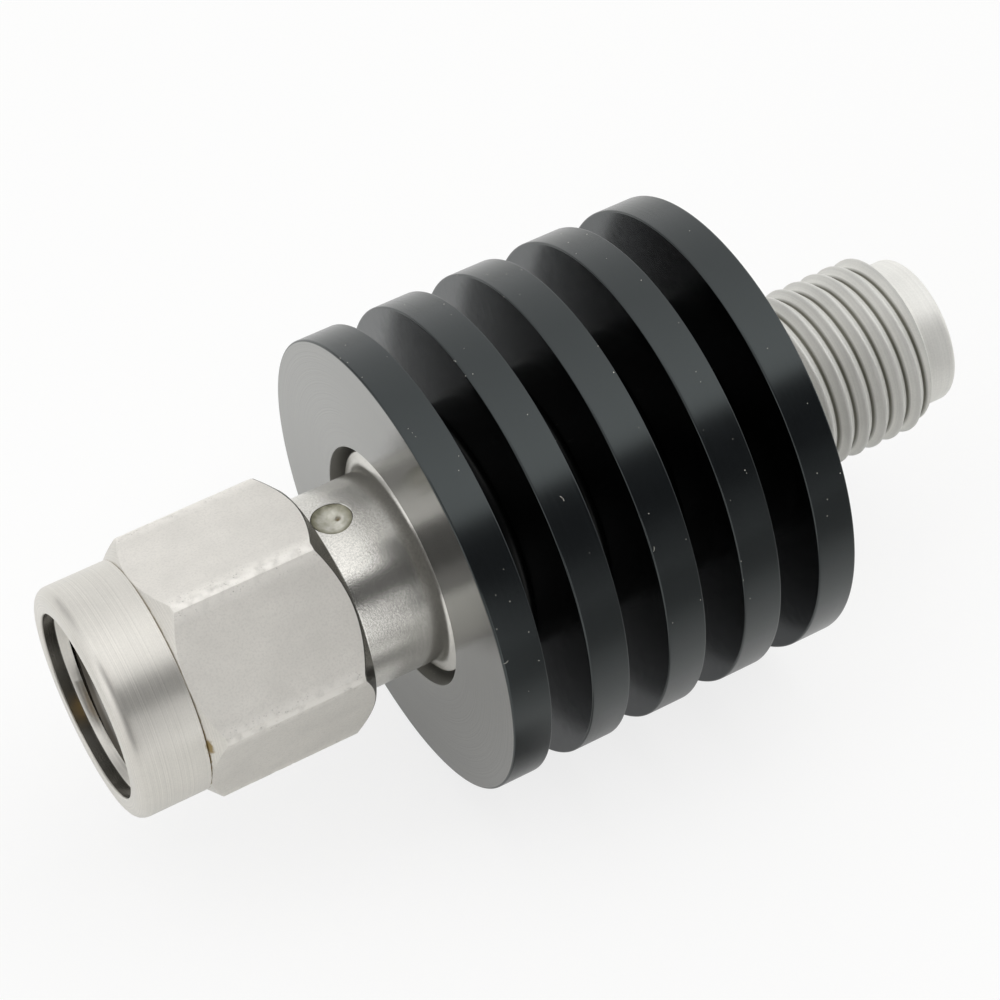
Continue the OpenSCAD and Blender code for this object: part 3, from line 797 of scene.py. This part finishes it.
class ATTENUATOR_OT_stage(bpy.types.Operator):
    """Lay the paper, set up the light tent and place the camera"""

    bl_idname = "attenuator.stage"
    bl_label = "Stage"

    def execute(self, context):
        scene = context.scene
        scene.view_settings.view_transform = "Standard"
        self.lay_floor(scene.attenuator_finish)
        self.pitch_tent(scene)
        self.hang_panel(scene)
        self.hang_card()
        self.place_camera(scene)
        return {"FINISHED"}

    def sheet(self, name, corners, material):
        """A flat sheet between four corners."""
        mesh = bpy.data.meshes.new(name)
        mesh.from_pydata(corners, [], [(0, 1, 2, 3)])
        mesh.materials.append(material)
        return new_piece(name, mesh)

    def lay_floor(self, look):
        # Matt paper that the camera and the shiny metal see as nearly even white, with a soft shadow left.
        # Shiny metal also sees it painted darker towards the photographer's side, as painted shade.
        material, tree = new_material("white_paper")
        path = node(tree, "ShaderNodeLightPath").outputs
        shiny = maths(tree, "MAXIMUM", path["Is Glossy Ray"], path["Is Transmission Ray"])
        place = split(tree, node(tree, "ShaderNodeTexCoord").outputs["Object"])
        x, y = place["X"], place["Y"]
        # Painted shade: where the paper's colour darkens for shiny rays only
        painted_dark = mask(tree, (y, 0.7, 0.0, -35 * MM, -10 * MM), (x, 0.0, 1.0, -8 * MM, 2 * MM))
        # A dim patch only shiny metal sees, where the neck and the end face mirror the paper. It stands
        # for the dark that the photo shows in them there.
        patch = mask(tree, (y, 0.75, 0.0, -10 * MM, -6 * MM), (y, 0.0, 1.0, -18 * MM, -14 * MM),
                     (x, 0.0, 1.0, -8 * MM, -5 * MM), (x, 1.0, 0.0, -2 * MM, 1 * MM))
        painted_dark = product(tree, maths(tree, "MAXIMUM", painted_dark, patch), shiny)
        paper = node(tree, "ShaderNodeBsdfDiffuse", {"Color": blend(tree, painted_dark, look.floor, BLACK)})
        white = node(tree, "ShaderNodeEmission", {"Color": blend(tree, painted_dark, WHITE, BLACK), "Strength": 1.0})
        mirrored, seen = product(tree, shiny, 0.3), product(tree, path["Is Camera Ray"], 0.8)
        share = maths(tree, "MAXIMUM", mirrored, seen)
        mixed = node(tree, "ShaderNodeMixShader", {0: share, 1: paper, 2: white})
        node(tree, "ShaderNodeOutputMaterial", {"Surface": mixed})
        half = 1.5
        corners = [(-half, -half, 0), (half, -half, 0), (half, half, 0), (-half, half, 0)]
        floor = self.sheet("floor", corners, material)

    def pitch_tent(self, scene):
        # A white tent round the part: its roof is brightest towards the photographer's side, where an
        # opening shows the dark room. The angle runs from the back wall, 0, over the roof to the front, 1.
        world = bpy.data.worlds.new("light_tent")
        scene.world = world
        world.use_nodes = True
        tree = world.node_tree
        tree.nodes.clear()
        way = split(tree, node(tree, "ShaderNodeTexCoord").outputs["Generated"])
        share = maths(tree, "DIVIDE", maths(tree, "ARCTAN2", way["Z"], way["Y"]), math.pi)
        ramp = node(tree, "ShaderNodeValToRGB", {"Fac": share})
        brightest = 1.6
        stops = ((0.0, 1.0), (0.12, 0.92), (0.28, 0.95), (0.5, 1.35), (0.65, 1.6), (0.8, 1.2), (1.0, 0.9))
        band = ramp.color_ramp.elements
        while len(band) < len(stops):
            band.new(0.5)
        for element, (place, level) in zip(band, stops):
            element.position = place
            element.color = (*scaled(WHITE, level / brightest), 1.0)
        # The opening reaches higher on the plug's side, and a fold on the back wall there is dim.
        # Both fade out between two directions along the axis.
        along = way["X"]
        plug_end, middle, jack_end = (-0.7, -0.6), (-0.15, 0.1), (0.7, 0.9)
        top = spread(tree, along, 0.505, 0.652, *middle)
        rim = maths(tree, "ADD", top, 0.024)
        foot = maths(tree, "MAXIMUM", spread(tree, share, 1.0, 0.62, 0.84, 1.0),
                     spread(tree, along, 1.0, 0.0, *middle))
        opening = product(
            tree, spread(tree, share, 0.0, 1.0, top, rim), foot, spread(tree, along, 0.0, 1.0, *plug_end),
            spread(tree, along, 1.0, 0.0, *jack_end))
        fold = mask(tree, (share, 0.55, 0.0, 0.22, 0.28), (along, 0.0, 1.0, *plug_end),
                    (along, 1.0, 0.0, -0.15, -0.05))
        dark = maths(tree, "MAXIMUM", opening, fold)
        tent = blend(tree, dark, ramp, scaled(WHITE, 0.05 / brightest))
        light = node(tree, "ShaderNodeBackground", {"Color": tent, "Strength": brightest})
        white = node(tree, "ShaderNodeBackground", {"Color": (*WHITE, 1.0), "Strength": 1.0})
        path = node(tree, "ShaderNodeLightPath").outputs
        mixed = node(tree, "ShaderNodeMixShader", {0: path["Is Camera Ray"], 1: light, 2: white})
        node(tree, "ShaderNodeOutputWorld", {"Surface": mixed})

    def hang_panel(self, scene):
        """A soft lamp under the tent's roof, which shiny metal doesn't see."""
        panel = bpy.data.lights.new("roof_panel", "AREA")
        panel.shape, panel.size, panel.size_y, panel.energy = "RECTANGLE", 0.5, 0.3, 0.35
        lamp = bpy.data.objects.new("roof_panel", panel)
        scene.collection.objects.link(lamp)
        lamp.location = (-0.02, -0.02, 0.4)
        lamp.visible_glossy = False

    def hang_card(self):
        """A white card low in front of the skirt, which only shiny metal sees."""
        material, tree = new_material("white_card")
        light = node(tree, "ShaderNodeEmission", {"Strength": 1.5})
        node(tree, "ShaderNodeOutputMaterial", {"Surface": light})
        low, high = (-32.0, 2.0), (-27.6, 25.0)
        corners = [(-10.0, *low), (0.0, *low), (0.0, *high), (-10.0, *high)]
        card = self.sheet("white_card", [Vector(corner) * MM for corner in corners], material)
        card.visible_camera = card.visible_diffuse = card.visible_shadow = False

    def place_camera(self, scene):
        """Stands the camera where the photo's stood, as fitted to the part's known sizes."""
        lens = bpy.data.cameras.new("camera")
        lens.lens, lens.sensor_width = 111.6, 36.0
        lens.clip_start, lens.clip_end = 5 * MM, 20.0
        camera = bpy.data.objects.new("camera", lens)
        scene.collection.objects.link(camera)
        camera.location = Vector((-32.23, -54.44, 89.09)) * MM
        aim = Vector((0.3093, 0.5342, -0.7868))
        camera.rotation_mode = "QUATERNION"
        camera.rotation_quaternion = aim.to_track_quat("-Z", "Y")
        scene.camera = camera


class ATTENUATOR_OT_heat_sink(bpy.types.Operator):
    """Turn the finned sleeve from one bar and anodise it black"""

    bl_idname = "attenuator.heat_sink"
    bl_label = "Heat Sink"

    def execute(self, context):
        size, look = context.scene.attenuator_sink, context.scene.attenuator_finish
        gap = (STACK - size.fins * size.fin_t) / (size.fins - 1)
        core_r, recess_r, bore_r = size.core_d / 2, size.recess_d / 2, size.bore_d / 2
        corners = []
        for i in range(size.fins):
            front = i * (size.fin_t + gap)
            rear = front + size.fin_t
            if i > 0:
                corners.append(bend(front, core_r, size.root))
            corners += [bend(front, FIN_R, size.edge), bend(rear, FIN_R, size.edge)]
            if i < size.fins - 1:
                corners.append(bend(rear, core_r, size.root))
        deep = size.recess_depth
        corners += [
            bend(STACK, recess_r, BROKEN), bend(STACK - deep, recess_r), bend(STACK - deep, bore_r),
            bend(deep, bore_r), bend(deep, recess_r), bend(0.0, recess_r, BROKEN)]
        sink = turned("heat_sink_turned", rounded(corners), anodised_fins(look), segments=256)
        parted = plain_finish("black_anodised_aluminium_parted", look.inner, 1.0, 0.2, 0.3 * MM, 0.1)
        recessed = plain_finish("aluminium_thinly_anodised_bored", look.recess, 0.3, 0.45, 0.25 * MM, 0.1)
        self.dress(sink, size, (anodised_face(look), anodised_gaps_painted_shade(look), parted, recessed))
        finish_piece(sink, "line", "heat_sink")
        return {"FINISHED"}

    def dress(self, sink, size, finishes):
        """Gives the end faces, the core, the fins' faces in the gaps and the recesses their own finishes."""
        first = len(sink.data.materials)
        faced, grooved_painted_shade, parted, recessed = range(first, first + 4)
        for finish in finishes:
            sink.data.materials.append(finish)
        # The limits lie just past the fins' rounded edges and roots
        core_r, edge, root = size.core_d / 2, 1.1 * size.edge, 1.2 * size.root
        for face in sink.data.polygons:
            radius = math.hypot(face.center.y, face.center.z - AXIS_Z)
            if radius > FIN_R - edge:
                continue
            if not SINK_LOW.x + NEAR < face.center.x < SINK_HIGH.x - NEAR:
                face.material_index = faced
            elif radius > core_r + root:
                face.material_index = parted
            else:
                face.material_index = grooved_painted_shade if radius > core_r - 2 * NEAR else recessed


class ATTENUATOR_OT_coupling_nut(bpy.types.Operator):
    """Mill and turn the hexagon nut, nick its corners and cut its inner thread"""

    bl_idname = "attenuator.coupling_nut"
    bl_label = "Coupling Nut"

    def execute(self, context):
        size, thread = context.scene.attenuator_nut, context.scene.attenuator_thread
        look = context.scene.attenuator_finish
        front, rear = NUT_LOW.x - FACE_X, NUT_HIGH.x - FACE_X
        angles, reaches = self.hexagon(size)
        table = np.array([rounded(self.outline(size, reach, front, rear)) for reach in reaches])
        table = self.nicked(size, angles, table)
        # Its darker colour is painted shade inside the nut and on its rear cone and face
        bored = bored_steel_painted_shade(look)
        nut = self.skin(angles, table, (nut_steel(look, size), flat_steel(look, size), bored))
        thread_front = front + size.mouth_depth - thread.run_out
        thread_rear = front + size.thread_rear + thread.run_out
        cut_thread(nut, thread, size.crest_d / 2, thread.inner_depth, thread_front, thread_rear, bored)
        finish_piece(nut, "nut", "coupling_nut")
        return {"FINISHED"}

    def hexagon(self, size):
        """Angles round the axis and the hexagon's reach at each, with its worn corners rounded."""
        flat_r = size.flats / 2
        corner_r = flat_r / math.cos(math.pi / 6) - size.corner_break - size.corner_wear
        half_land = math.pi / 6 - math.acos(flat_r / corner_r)
        corners = []
        for k in range(6):
            middle = size.turn + k * math.pi / 3
            for angle, parts in ((middle - half_land, 1), (middle + half_land, 16)):
                y, z = corner_r * math.cos(angle), corner_r * math.sin(angle)
                corners.append(bend(y, z, size.corner_round, parts))
        section = rounded(corners, steps=3)
        return np.arctan2(section[:, 1], section[:, 0]), np.hypot(section[:, 0], section[:, 1])

    def outline(self, size, reach, front, rear):
        """The nut's section where the hexagon has this reach from the axis."""
        hex_front = front + size.skirt_len
        flat_r = size.flats / 2
        corner_r = flat_r / math.cos(math.pi / 6) - size.corner_break
        end_r = flat_r - size.corner_break
        rise = (reach - end_r) / (corner_r - end_r)
        mouth_r, crest_r, chamber_r, lip_r = (
            d / 2 for d in (size.mouth_d, size.crest_d, size.chamber_d, size.lip_d))
        thread_front = front + size.mouth_depth + (mouth_r - crest_r)
        thread_rear = front + size.thread_rear
        return [
            bend(front, size.skirt_d / 2, size.skirt_round, parts=10),
            bend(hex_front, size.skirt_d / 2, FINE),
            bend(hex_front, end_r),
            bend(hex_front + size.front_cone * rise, reach, SOFT, parts=60),
            bend(rear - size.rear_cone * rise, reach, SOFT),
            bend(rear, end_r, KEEN),
            bend(rear, lip_r, BROKEN),
            bend(rear - size.lip_len, lip_r),
            bend(rear - size.lip_len, chamber_r),
            bend(thread_rear + (chamber_r - crest_r) / 2, chamber_r),
            bend(thread_rear, crest_r, parts=90),
            bend(thread_front, crest_r, FINE),
            bend(front + size.mouth_depth, mouth_r, FINE),
            bend(front, mouth_r, WIDE)]

    def nicked(self, size, angles, table):
        """Presses small random nicks into the hexagon's corners."""
        draw = np.random.default_rng(11)
        on_each, breadth = 16, 0.09 * MM
        stations, radii = table[..., 0], table[..., 1]
        on_hexagon = radii > size.flats / 2 - size.corner_break
        dents = np.zeros_like(radii)
        for k in range(6):
            off = np.angle(np.exp(1j * (angles - size.turn - k * math.pi / 3))) * size.flats / 2
            for _ in range(on_each):
                place = draw.uniform(NUT_LOW.x + size.skirt_len, NUT_HIGH.x) - FACE_X
                deep, wide = size.nick * draw.uniform(0.15, 1.0) ** 2, draw.uniform(0.03, 0.09) * MM
                side = draw.uniform(-0.08, 0.08) * MM
                across = np.exp(-((off - side) / breadth) ** 2)
                dents += deep * across[:, None] * np.exp(-((stations - place) / wide) ** 2)
        table = table.copy()
        table[..., 1] -= dents * on_hexagon
        return table

    def skin(self, angles, table, steels):
        """Closes the table of sections into one skin with its finishes."""
        columns, rows = table.shape[:2]
        x = FACE_X + table[..., 0]
        y = table[..., 1] * np.cos(angles)[:, None]
        z = AXIS_Z + table[..., 1] * np.sin(angles)[:, None]
        column, row = np.meshgrid(np.arange(columns), np.arange(rows), indexing="ij")
        beside, ahead = (column + 1) % columns, (row + 1) % rows
        faces = np.stack([
            column * rows + row, beside * rows + row, beside * rows + ahead, column * rows + ahead], -1)
        mesh = bpy.data.meshes.new("coupling_nut_threaded")
        mesh.from_pydata(np.stack([x, y, z], -1).reshape(-1, 3).tolist(), [], faces.reshape(-1, 4).tolist())
        mapped = mesh.uv_layers.new(name="turning")
        u = np.stack([column, column + 1, column + 1, column], -1) / columns
        v = np.stack([row, row, row + 1, row + 1], -1) / rows
        mapped.data.foreach_set("uv", np.stack([u, v], -1).astype(np.float32).ravel())
        for steel in steels:
            mesh.materials.append(steel)
        # The flats follow the outline's corner 3, the rear cone and the bore corners 4 to 10, the lead-in 12
        owner = np.broadcast_to(table[0, :, 2], (columns, rows))
        finish = np.select([owner == 3, (owner > 3) & (owner < 11) | (owner == 12)], [1, 2], 0)
        mesh.polygons.foreach_set("material_index", finish.astype(np.int32).ravel())
        return new_piece("coupling_nut_threaded", mesh)


class ATTENUATOR_OT_bodies(bpy.types.Operator):
    """Turn the plug's and the jack's bodies and cut the jack's thread"""

    bl_idname = "attenuator.bodies"
    bl_label = "Bodies"

    def execute(self, context):
        size, thread = context.scene.attenuator_body, context.scene.attenuator_thread
        look = context.scene.attenuator_finish
        neck = turned_steel(
            "stainless_steel_turned_neck", look.neck, 0.25, 0.11 * MM, 0.03, metallic=0.88, drawn=0.2,
            streak=0.04, sandy=0.4)[0]
        outline = self.plug_outline(size, context.scene.attenuator_nut.lip_len)
        plug = turned("plug_body_turned", rounded(outline), neck, segments=160)
        cut_away(plug, [self.fill_cutter(size, neck)])
        finish_piece(plug, "line", "plug_body")
        steel = jack_steel(look)
        jack = turned("jack_body_threaded", rounded(self.jack_outline(size, thread)), steel, segments=192)
        # At full depth where the crests begin, and fading out over their chamfer at the nose
        past_nose = 0.1 * MM
        thread_front = STACK + size.relief_len - thread.run_out
        thread_rear = JACK_HIGH.x - FACE_X - size.nose_len + past_nose
        cut_thread(jack, thread, thread.outer_d / 2, -thread.depth, thread_front, thread_rear, steel)
        finish_piece(jack, "line", "jack_body")
        return {"FINISHED"}

    def plug_outline(self, size, lip_len):
        """The plug's section, from the spigot's tip to the end of the shank."""
        tip, shank_end = PLUG_LOW.x - FACE_X, PLUG_HIGH.x - FACE_X
        gasket_front, seat = GASKET_LOW.x - FACE_X, GASKET_HIGH.x - FACE_X
        groove_rear = NUT_HIGH.x - FACE_X - lip_len
        groove_front = groove_rear - size.groove_w
        bottom = size.flange_sink + size.flange_t
        line_r, spigot_r, land_r, journal_r = (
            d / 2 for d in (size.line_d, size.spigot_d, size.land_d, size.journal_d))
        neck_r, flange_r, shank_r = size.neck_d / 2, size.flange_d / 2, size.shank_d / 2
        return [
            bend(tip, line_r), bend(tip, spigot_r, size.edge), bend(gasket_front, spigot_r),
            bend(gasket_front, land_r), bend(seat, land_r), bend(seat, journal_r, FINE),
            bend(groove_front, journal_r), bend(groove_front, size.groove_d / 2),
            bend(groove_rear, size.groove_d / 2), bend(groove_rear, journal_r),
            bend(-size.shoulder, journal_r), bend(-size.shoulder, neck_r, size.edge, parts=30),
            bend(size.flange_sink, neck_r, size.neck_fillet), bend(size.flange_sink, flange_r, size.edge / 2),
            bend(bottom, flange_r), bend(bottom, shank_r), bend(shank_end, shank_r), bend(shank_end, line_r)]

    def jack_outline(self, size, thread):
        """The jack's section, from the end of the shank to the nose."""
        shank_end, tip = JACK_LOW.x - FACE_X, JACK_HIGH.x - FACE_X
        seat, flange = STACK - size.flange_sink - size.flange_t, STACK - size.flange_sink
        line_r, shank_r, flange_r, relief_r = (
            d / 2 for d in (size.line_d, size.shank_d, size.flange_d, size.relief_d))
        thread_r, nose_r, socket_r = thread.outer_d / 2, size.nose_d / 2, size.socket_d / 2
        thread_start, nose_start = STACK + size.relief_len, tip - size.nose_len
        face, relief_root = tip - size.socket_depth, 0.1 * MM
        return [
            bend(shank_end, line_r), bend(shank_end, shank_r), bend(seat, shank_r), bend(seat, flange_r),
            bend(flange, flange_r, size.edge), bend(flange, relief_r, relief_root),
            bend(thread_start - (thread_r - relief_r) / 2, relief_r, SOFT),
            bend(thread_start, thread_r, parts=128),
            bend(nose_start - (thread_r - nose_r) / 2, thread_r, SOFT),
            bend(nose_start, nose_r, WIDE, parts=6), bend(tip, nose_r, size.nose_round),
            bend(tip, socket_r, size.edge / 2), bend(face, socket_r), bend(face, line_r)]

    def fill_cutter(self, size, steel):
        """Bar across the neck's wall that leaves the filled hole, flared at its outer edge."""
        hole_r, neck_r = size.fill_d / 2, size.neck_d / 2
        flare = 0.03 * MM
        outline = [
            (0.0, 0.0), (0.0, hole_r), (neck_r - flare, hole_r),
            (neck_r + 4 * flare, hole_r + 5 * flare), (neck_r + 4 * flare, 0.0)]
        bar = turned("fill_cutter", outline, steel, segments=64, height=0.0, shift=0.0, ring=False)
        bar.data.transform(across_neck(size))
        return bar


class ATTENUATOR_OT_resin(bpy.types.Operator):
    """Fill the neck's hole with resin that has sunk as it cured"""

    bl_idname = "attenuator.resin"
    bl_label = "Resin"

    def execute(self, context):
        size, look = context.scene.attenuator_body, context.scene.attenuator_finish
        clearance, sunk = 0.02 * MM, 0.015 * MM
        resin_r, neck_r = size.fill_d / 2 - clearance, size.neck_d / 2
        floor, rim = 0.66 * MM, neck_r - sunk
        rings, bow = 25, 2.2
        top = [(rim - size.fill_hollow * (1 - t ** bow), resin_r * t) for t in np.linspace(1.0, 0.0, rings)]
        outline = [(floor, 0.0), (floor, resin_r), *top]
        resin = turned(
            "captivation_resin_cured", outline, epoxy(look), segments=96, height=0.0, shift=0.0, ring=False)
        self.trap_bubble(resin.data, rim, resin_r, neck_r)
        resin.data.transform(across_neck(size))
        finish_piece(resin, "line", "captivation_resin")
        return {"FINISHED"}

    def trap_bubble(self, mesh, rim, resin_r, neck_r):
        """Fits the top to the round neck and leaves a burst bubble, whose place is kept for the finish."""
        for name in ("bubble", "thin"):
            mesh.attributes.new(name, "FLOAT", "POINT")
        bubble, thin = mesh.attributes["bubble"].data, mesh.attributes["thin"].data
        centre, width = (-0.36 * resin_r, -0.1 * resin_r), 0.08 * MM
        deep, raised, below_top = 0.05 * MM, 0.02 * MM, rim - 0.5 * MM
        # The place and the narrowness of its raised collar, counted in its width
        collar, narrow = 1.5, 4
        for i, vertex in enumerate(mesh.vertices):
            if vertex.co.x < below_top:
                continue
            away = math.hypot(vertex.co.y - centre[0], vertex.co.z - centre[1]) / width
            bubble[i].value = math.exp(-away ** 2)
            # 1 in the middle and 0 at the rim: the finish paints the middle light and the rim shaded
            thin[i].value = 1 - math.hypot(vertex.co.y, vertex.co.z) / resin_r
            vertex.co.x -= deep * math.exp(-away ** 2) - raised * math.exp(-(away - collar) ** 2 * narrow)
            vertex.co.x += math.sqrt(neck_r ** 2 - vertex.co.z ** 2) - neck_r


class ATTENUATOR_OT_contacts(bpy.types.Operator):
    """Turn, slot and gild the plug's pin and the jack's spring contact"""

    bl_idname = "attenuator.contacts"
    bl_label = "Contacts"

    def execute(self, context):
        size, look = context.scene.attenuator_contact, context.scene.attenuator_finish
        gilt = plain_finish("copper_alloy_gold_plated", look.gilt, 1.0, 0.24, 0.25 * MM, 0.12)
        pin_r, sleeve_r = size.pin_d / 2, size.contact_d / 2
        stop_r, tail_r = size.stop_d / 2, size.tail_d / 2
        tip, tail = PIN_LOW.x - FACE_X, PIN_HIGH.x - FACE_X
        face, stop = PLUG_LOW.x - FACE_X, PLUG_HIGH.x - FACE_X
        # Roundings at the two ends of the taper
        nib, shoulder = 0.08 * MM, 0.3 * MM
        pin = turned("plug_pin_gilt", rounded([
            bend(tip, 0.0), bend(tip, pin_r - size.pin_tip / 2, nib),
            bend(tip + size.pin_tip, pin_r, shoulder), bend(face, pin_r), bend(face, sleeve_r),
            bend(stop - size.stop_t, sleeve_r), bend(stop - size.stop_t, stop_r, BROKEN),
            bend(stop, stop_r, BROKEN), bend(stop, tail_r), bend(tail, tail_r, SOFT),
            bend(tail, 0.0)]), gilt, segments=64, ring=False)
        cut_away(pin, [self.fork(size, stop, tail + OVERRUN)])
        finish_piece(pin, "line", "plug_pin")
        tail, mouth = CONTACT_LOW.x - FACE_X, CONTACT_HIGH.x - FACE_X
        stop = JACK_LOW.x - FACE_X
        bore_r, floor = size.contact_bore_d / 2, mouth - size.contact_depth
        contact = turned("jack_contact_gilt", rounded([
            bend(tail, 0.0), bend(tail, tail_r, SOFT), bend(stop, tail_r), bend(stop, stop_r, BROKEN),
            bend(stop + size.stop_t, stop_r, BROKEN), bend(stop + size.stop_t, sleeve_r),
            bend(mouth, sleeve_r, BROKEN), bend(mouth, bore_r, WIDE), bend(floor, bore_r),
            bend(floor, 0.0)]), gilt, segments=64, ring=False)
        cut_away(contact, [self.fork(size, tail - OVERRUN, stop), *self.finger_slots(size, mouth)])
        finish_piece(contact, "line", "jack_contact")
        return {"FINISHED"}

    def fork(self, size, front, rear):
        """Slot that lets the card into a tail."""
        wide, high = size.stop_d, size.fork_slot / 2
        return block("fork", (FACE_X + front, -wide, AXIS_Z - high), (FACE_X + rear, wide, AXIS_Z + high))

    def finger_slots(self, size, mouth):
        """Two crossed slots that part the contact into four fingers."""
        slots = []
        reach, half = size.contact_d, size.finger_slot / 2
        onto_axis = Matrix.Translation((FACE_X, 0, AXIS_Z))
        for turn in (45, 135):
            slot = block("slot", (mouth - size.finger_len, -reach, -half), (mouth + OVERRUN, reach, half))
            slot.data.transform(onto_axis @ Matrix.Rotation(math.radians(turn), 4, "X"))
            slots.append(slot)
        return slots


class ATTENUATOR_OT_inner_pieces(bpy.types.Operator):
    """Give the inner CAD pieces their finishes"""

    bl_idname = "attenuator.inner_pieces"
    bl_label = "Inner Pieces"

    def execute(self, context):
        look = context.scene.attenuator_finish
        ptfe = plain_finish("ptfe_turned", look.ptfe, 0.0, 0.42, 0.3 * MM, 0.06, 1.35)
        rubber = plain_finish("silicone_rubber_moulded", look.gasket, 0.0, 0.5, 0.2 * MM, 0.15, 1.41)
        brass = plain_finish("brass_turned", look.brass, 1.0, 0.3, 0.3 * MM, 0.15)
        bronze = plain_finish("spring_bronze_drawn", look.ring, 1.0, 0.28, 0.2 * MM, 0.15)
        ceramic = plain_finish("alumina_ceramic_fired", look.ceramic, 0.0, 0.4, 0.15 * MM, 0.06, 1.76)
        dress = {
            "plug_insulator": ptfe, "jack_insulator": ptfe, "gasket": rubber, "snap_ring": bronze,
            "upper_carrier": brass, "lower_carrier": brass, "attenuator_card": ceramic}
        for name, material in dress.items():
            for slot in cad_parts[name].material_slots:
                slot.material = material
        return {"FINISHED"}


class ATTENUATOR_OT_lint(bpy.types.Operator):
    """Strew pale lint over the upper side of the fins"""

    bl_idname = "attenuator.lint"
    bl_label = "Lint"

    def execute(self, context):
        size, look = context.scene.attenuator_sink, context.scene.attenuator_finish
        material = plain_finish("cotton_lint", look.lint, 0.0, 0.8, 0.02 * MM, 0.2)
        lint = new_piece("fin_lint", bpy.data.objects["heat_sink_turned"].data.copy())
        lay_nodes(lint, lint_tree(), {"Density": size.lint / MM ** 2, "Seed": 4, "Material": material})
        settle(lint)
        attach(lint, "line")
        return {"FINISHED"}


class ATTENUATOR_PT_panel(bpy.types.Panel):
    """Lists the attenuator's pieces, sizes and colours"""

    bl_idname = "ATTENUATOR_PT_panel"
    bl_label = "Attenuator"
    bl_space_type = "VIEW_3D"
    bl_region_type = "UI"
    bl_category = "Attenuator"

    def draw(self, context):
        for step in STEPS:
            self.layout.operator(step.bl_idname)
        for name in GROUPS:
            box = self.layout.box()
            group = getattr(context.scene, name)
            for key in group.bl_rna.properties.keys():
                if key not in ("rna_type", "name"):
                    box.prop(group, key)


STEPS = (
    ATTENUATOR_OT_stage, ATTENUATOR_OT_heat_sink, ATTENUATOR_OT_coupling_nut, ATTENUATOR_OT_bodies,
    ATTENUATOR_OT_resin, ATTENUATOR_OT_contacts, ATTENUATOR_OT_inner_pieces, ATTENUATOR_OT_lint)
GROUPS = {
    "attenuator_sink": SinkSizes, "attenuator_nut": NutSizes, "attenuator_body": BodySizes,
    "attenuator_thread": ThreadSizes, "attenuator_contact": ContactSizes, "attenuator_finish": Finishes}


def register():
    for name, group in GROUPS.items():
        bpy.utils.register_class(group)
        setattr(bpy.types.Scene, name, bpy.props.PointerProperty(type=group))
    for step in (*STEPS, ATTENUATOR_PT_panel):
        bpy.utils.register_class(step)


def unregister():
    for step in (ATTENUATOR_PT_panel, *reversed(STEPS)):
        bpy.utils.unregister_class(step)
    for name, group in GROUPS.items():
        delattr(bpy.types.Scene, name)
        bpy.utils.unregister_class(group)


def main():
    register()
    bpy.ops.attenuator.stage()
    bpy.ops.attenuator.heat_sink()
    bpy.ops.attenuator.coupling_nut()
    bpy.ops.attenuator.bodies()
    bpy.ops.attenuator.resin()
    bpy.ops.attenuator.contacts()
    bpy.ops.attenuator.inner_pieces()
    bpy.ops.attenuator.lint()


if __name__ == "__main__":
    main()
